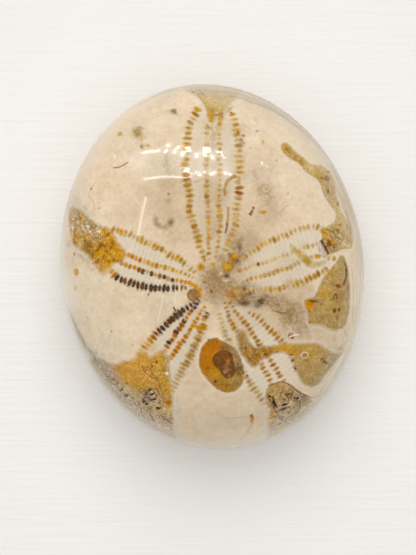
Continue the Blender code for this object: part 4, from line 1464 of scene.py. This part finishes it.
def polished_stone():
    """Cream calcite with its pores, infilled hollows, stains and cracks under one polish, with
    painted shade, glow, glints and reflection.
    """
    f = Finish("polished_calcite")
    broad = f.noise(0.006, 4, 0.55)
    cloud = f.noise(0.0018, 5, 0.6)
    fine = f.noise(0.0004, 4, 0.6)
    grain = f.noise(0.00018, 2, 0.6)
    wobble = (f.noise(0.0009, 4, 0.65) - 0.5) * 0.0006
    shiver = (f.noise(0.0003, 3, 0.65) - 0.5) * 0.00016
    crumble = (f.noise(0.00055, 4, 0.7) - 0.5) * 0.0012

    colour = plain_stone(f, broad, cloud, fine)
    colour = petals_over(f, colour, cloud, fine, grain)
    patchy = f.ramp(fine * 0.6 + cloud * 0.4, 0.40, 0.60)
    # Stains, with the painted shade along the lower left edge
    stain_and_shade = f.number("stain_and_shade")
    colour = f.mix(stain_and_shade * (0.50 + 0.60 * patchy), colour, f.colour("stain_and_shade_colour"))
    colour = f.times(stain_and_shade * f.ramp(cloud, 0.50, 0.62) * 0.22, colour, DEEPER)
    colour = f.times(stain_and_shade * f.ramp(fine, 0.52, 0.64) * 0.22, colour, DEEPER)
    colour = f.times(stain_and_shade * f.ramp(fine, 0.46, 0.36) * 0.20, colour, LIGHTER)

    # Pores: soft and lighter at the edge, deeper in the middle, and ringed where they are dark
    pore = f.number("pore_edge") + shiver * 1.3
    body = f.colour("pore_colour")
    core = f.ramp(pore, 0.00000, -0.00018)
    ring = f.number("pore_ring")
    body = f.times(core * (0.10 + 0.9 * f.ramp(fine, 0.40, 0.62)), body, DEEPER)
    body = f.times(f.ramp(fine, 0.50, 0.36) * 0.30, body, LIGHTER)
    body = f.mix(f.ramp(pore, -0.00007, -0.00015) * ring * 0.9, body, "umber")
    body = f.times(f.ramp(grain, 0.50, 0.36) * 0.30, body, LIGHTER)
    colour = f.mix(f.ramp(pore, 0.00016, 0.00000) * 0.30, colour, body)
    colour = f.mix(f.ramp(pore, 0.00008, -0.00008), colour, body)

    # Infilled hollows, with a pale halo, that break up into plain stone down the side
    coarse = f.number("coarseness")
    soft = f.number("softness")
    hollow = f.number("hollow_edge") + wobble * (0.5 + coarse * 0.7) + crumble * soft + shiver
    ragged = 1 + (cloud - 0.5) * 2.4 + (fine - 0.5) * 1.2
    held = f.ramp(f.number("fading") * ragged, 0.70, 0.10)
    halo = f.ramp(hollow, 0.0008, 0.0001) * (0.10 + 0.40 * cloud) * held
    colour = f.mix(halo, colour, "chalk")
    inside = f.ramp(hollow, 0.00012 + soft * 0.00040, -0.00012 - soft * 0.00040) * held
    colour = f.mix(inside, colour, infill(f, cloud, fine, grain))
    rim = f.ramp(abs(hollow + 0.00003), 0.00011, 0.0) * f.ramp(cloud, 0.42, 0.60) * held
    colour = f.mix(rim * 0.40 * (1 - soft), colour, "umber")

    # Spots, shapes and lines
    blur = f.number("spot_blur")
    spot = f.number("spot_edge") + wobble * 0.45 + shiver * 1.3
    spot = f.ramp(spot, 0.00010 + blur, -0.00010 - blur)
    spot_paint = f.times(f.ramp(fine, 0.46, 0.60) * 0.7, f.colour("spot_colour"), DEEPER)
    spot_paint = f.times(f.ramp(grain, 0.50, 0.36) * 0.40, spot_paint, LIGHTER)
    colour = f.mix(spot, colour, spot_paint)
    width = f.number("thread_half") * (0.7 + 0.6 * cloud)
    side = abs(f.number("thread_side") + shiver * 0.6)
    thread = f.ramp(side - width, 0.00008, -0.00005)
    thread = thread * f.ramp(f.number("thread_near"), 0.00040, 0.00028)
    colour = f.mix(thread * (0.50 + 0.6 * fine), colour, f.colour("thread_colour"))
    # Rim haze: the glassy edge's tone, with a painted glow and a painted reflection
    haze = f.number("haze") * (0.40 + 0.8 * cloud + 0.4 * fine)
    colour = f.mix(haze.least(0.95), colour, f.colour("rim_haze_and_painted_light_colour"))

    height = cloud * 0.4 + fine * 0.08 + f.ramp(pore, -0.00010, 0.00010) * 0.15
    bump = f.node("ShaderNodeBump", {}, {
        "Strength": 0.14, "Distance": 0.00003, "Height": height,
    })
    f.surface({
        "Base Color": colour,
        "Roughness": 0.045 + 0.02 * cloud + 0.12 * inside * coarse * fine,
        "IOR": 1.56,
        "Specular IOR Level": 0.28,
        "Subsurface Weight": 0.12,
        "Subsurface Radius": (1.0, 0.7, 0.4),
        "Subsurface Scale": 0.0002,
        "Normal": bump.outputs["Normal"],
    })
    return f.material


def pale_paper():
    """White paper with a faint horizontal rib."""
    f = Finish("pale_paper")
    tint = f.noise(0.03, 3, 0.5)
    colour = f.mix(tint, (0.81, 0.80, 0.785, 1.0), (0.86, 0.85, 0.835, 1.0))
    stretched = f.node("ShaderNodeMapping", {}, {"Vector": f.spot, "Scale": (90.0, 1400.0, 1.0)})
    rib = f.node("ShaderNodeTexNoise", {}, {
        "Vector": stretched.outputs["Vector"], "Scale": 1.0, "Detail": 3.0,
    })
    bump = f.node("ShaderNodeBump", {}, {
        "Strength": 0.8, "Distance": 0.00017, "Height": rib.outputs["Fac"],
    })
    f.surface({
        "Base Color": colour,
        "Roughness": 0.85,
        "Specular IOR Level": 0.2,
        "Normal": bump.outputs["Normal"],
    })
    return f.material


def make_stone():
    block = rough_block()
    place, skin = grind_to_shape(block)
    pores, hollows, grooves = mark_stone(block, place, skin)
    carve(block, place, pores, hollows, grooves)
    block.data.materials.append(polished_stone())
    block.data.shade_smooth()
    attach(block, "root")
    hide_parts("sand_dollar")


def make_paper():
    bpy.ops.object.select_all(action="DESELECT")
    bpy.ops.mesh.primitive_plane_add(size=1.6, location=(0, 0, -0.00002))
    paper = bpy.context.object
    paper.name = "paper"
    paper.data.materials.append(pale_paper())


# Small bright lamps: where the photograph shows them mirrored, and the size of each in pixels
LAMPS = [
    (168, 144.5, 4.4, 3.4), (165.5, 151, 3.0, 3.0), (174.8, 151.2, 4.2, 3.6),
    (178.4, 146.6, 4.0, 3.2), (183.4, 153.6, 5.0, 3.8), (187.8, 149.2, 4.4, 3.8),
    (196.4, 155, 4.6, 4.0), (206.2, 150.4, 6.4, 5.4), (205.6, 153.4, 3.0, 2.4),
    (212.6, 156.6, 5.0, 3.2), (219.6, 152.2, 3.6, 3.0), (223.6, 157.2, 2.4, 2.0),
    (186.6, 170.4, 3.0, 3.4), (190.4, 174, 2.4, 2.2), (196.2, 171.8, 4.4, 3.0),
    (200.2, 174.2, 3.6, 2.6), (205.4, 171.2, 2.6, 2.6), (210.8, 173.8, 4.2, 2.8),
    (215.8, 172.8, 3.0, 2.4), (225.8, 172.6, 4.2, 3.0), (230.4, 174.4, 3.0, 2.0),
    (267, 166, 2.4, 1.8), (262, 163.4, 2.0, 1.6),
]
LAMP_DISTANCE = 0.6
WARM = (1.0, 0.98, 0.95)
SKY = (0.80, 0.92, 1.0)

# Broad panels of light that show in the polish: where the photograph has their middle,
# left, right, top and bottom, how brightly they glow, their colour and their shape
PANELS = {
    "blind": ((178, 163), (124, 165), (232, 165), (178, 149), (178, 177),
              1.9, SKY, "RECTANGLE"),
    "curtain": ((214, 161), (198, 161), (231, 161), (214, 149), (214, 175),
                2.0, SKY, "RECTANGLE"),
    "sill": ((166, 176.6), (141, 177.6), (190, 175.6), (166, 176), (166, 177.4),
             24, WARM, "RECTANGLE"),
    "corner": ((136, 160), (128, 160), (146, 160), (137, 153), (137, 169),
               2.0, (0.86, 0.94, 1.0), "ELLIPSE"),
    "lintel": ((151, 151), (141, 152.6), (161, 149.8), (151, 150), (151, 152.4),
               16, WARM, "RECTANGLE"),
}


def add_light(name, place, aim, size_x, size_y, power, colour=WARM, right=None,
              shape="ELLIPSE"):
    """A flat light that faces a point."""
    light = bpy.data.lights.new(name, "AREA")
    light.shape = shape
    light.size = size_x
    light.size_y = size_y
    light.energy = power
    light.color = colour
    holder = bpy.data.objects.new(name, light)
    bpy.context.scene.collection.objects.link(holder)
    back = Vector(place) - Vector(aim)
    back.normalize()
    side = Vector(right) if right is not None else Vector((0, 1, 0)).cross(back)
    side = (side - back * side.dot(back)).normalized()
    turn = Matrix((side, back.cross(side), back)).transposed()
    holder.matrix_world = Matrix.Translation(place) @ turn.to_4x4()
    return holder


def add_mirrored(name, middle, left, right, top, bottom, glow, colour=WARM,
                 shape="ELLIPSE"):
    """A light that shows in the polish alone, where and as large as the photograph has it."""
    spot, way = mirrored_way(middle)
    ends = [mirrored_way(pixel)[1] * LAMP_DISTANCE for pixel in (left, right, top, bottom)]
    width = np.linalg.norm(ends[1] - ends[0])
    height = np.linalg.norm(ends[3] - ends[2])
    place = spot + way * LAMP_DISTANCE
    light = add_light(name, place, spot, width, height, glow * math.pi * width * height,
                      colour, ends[1] - ends[0], shape)
    light.visible_diffuse = False


def make_light():
    world = bpy.data.worlds.new("room")
    bpy.context.scene.world = world
    world.use_nodes = True
    background = world.node_tree.nodes["Background"]
    background.inputs["Color"].default_value = (0.95, 0.98, 1.0, 1.0)
    background.inputs["Strength"].default_value = 0.20
    for name, place, size, power in (
        ("window", (-0.04, 0.58, 0.80), 0.9, 4.0),
        ("ceiling", (0, 0, 1.1), 2.6, 11.8),
        ("skylight", (0, 0.05, 1.1), 0.16, 2.2),
    ):
        add_light(name, place, (0, 0, 0), size, size, power).visible_glossy = False
    for name, panel in PANELS.items():
        add_mirrored(name, *panel)
    for number, (x, y, wide, high) in enumerate(LAMPS):
        # A bright lamp in a wider, dimmer shade: their share of the size, and their glow
        for kind, size, glow in (("lamp", 0.70, 60), ("shade", 1.9, 2.6)):
            across, up = wide * size / 2, high * size / 2
            add_mirrored(f"{kind}_{number + 1}", (x, y), (x - across, y), (x + across, y),
                         (x, y - up), (x, y + up), glow)
    scene = bpy.context.scene
    scene.view_settings.view_transform = "Standard"
    scene.view_settings.look = "None"


def make_camera():
    camera = bpy.data.objects.new("camera", bpy.data.cameras.new("camera"))
    bpy.context.scene.collection.objects.link(camera)
    camera.location = (CAMERA_X, CAMERA_Y, CAMERA_HEIGHT)
    camera.data.lens = LENS
    camera.data.sensor_width = SENSOR
    camera.data.clip_start = 0.01
    camera.data.clip_end = 10
    bpy.context.scene.camera = camera


make_stone()
make_paper()
make_light()
make_camera()
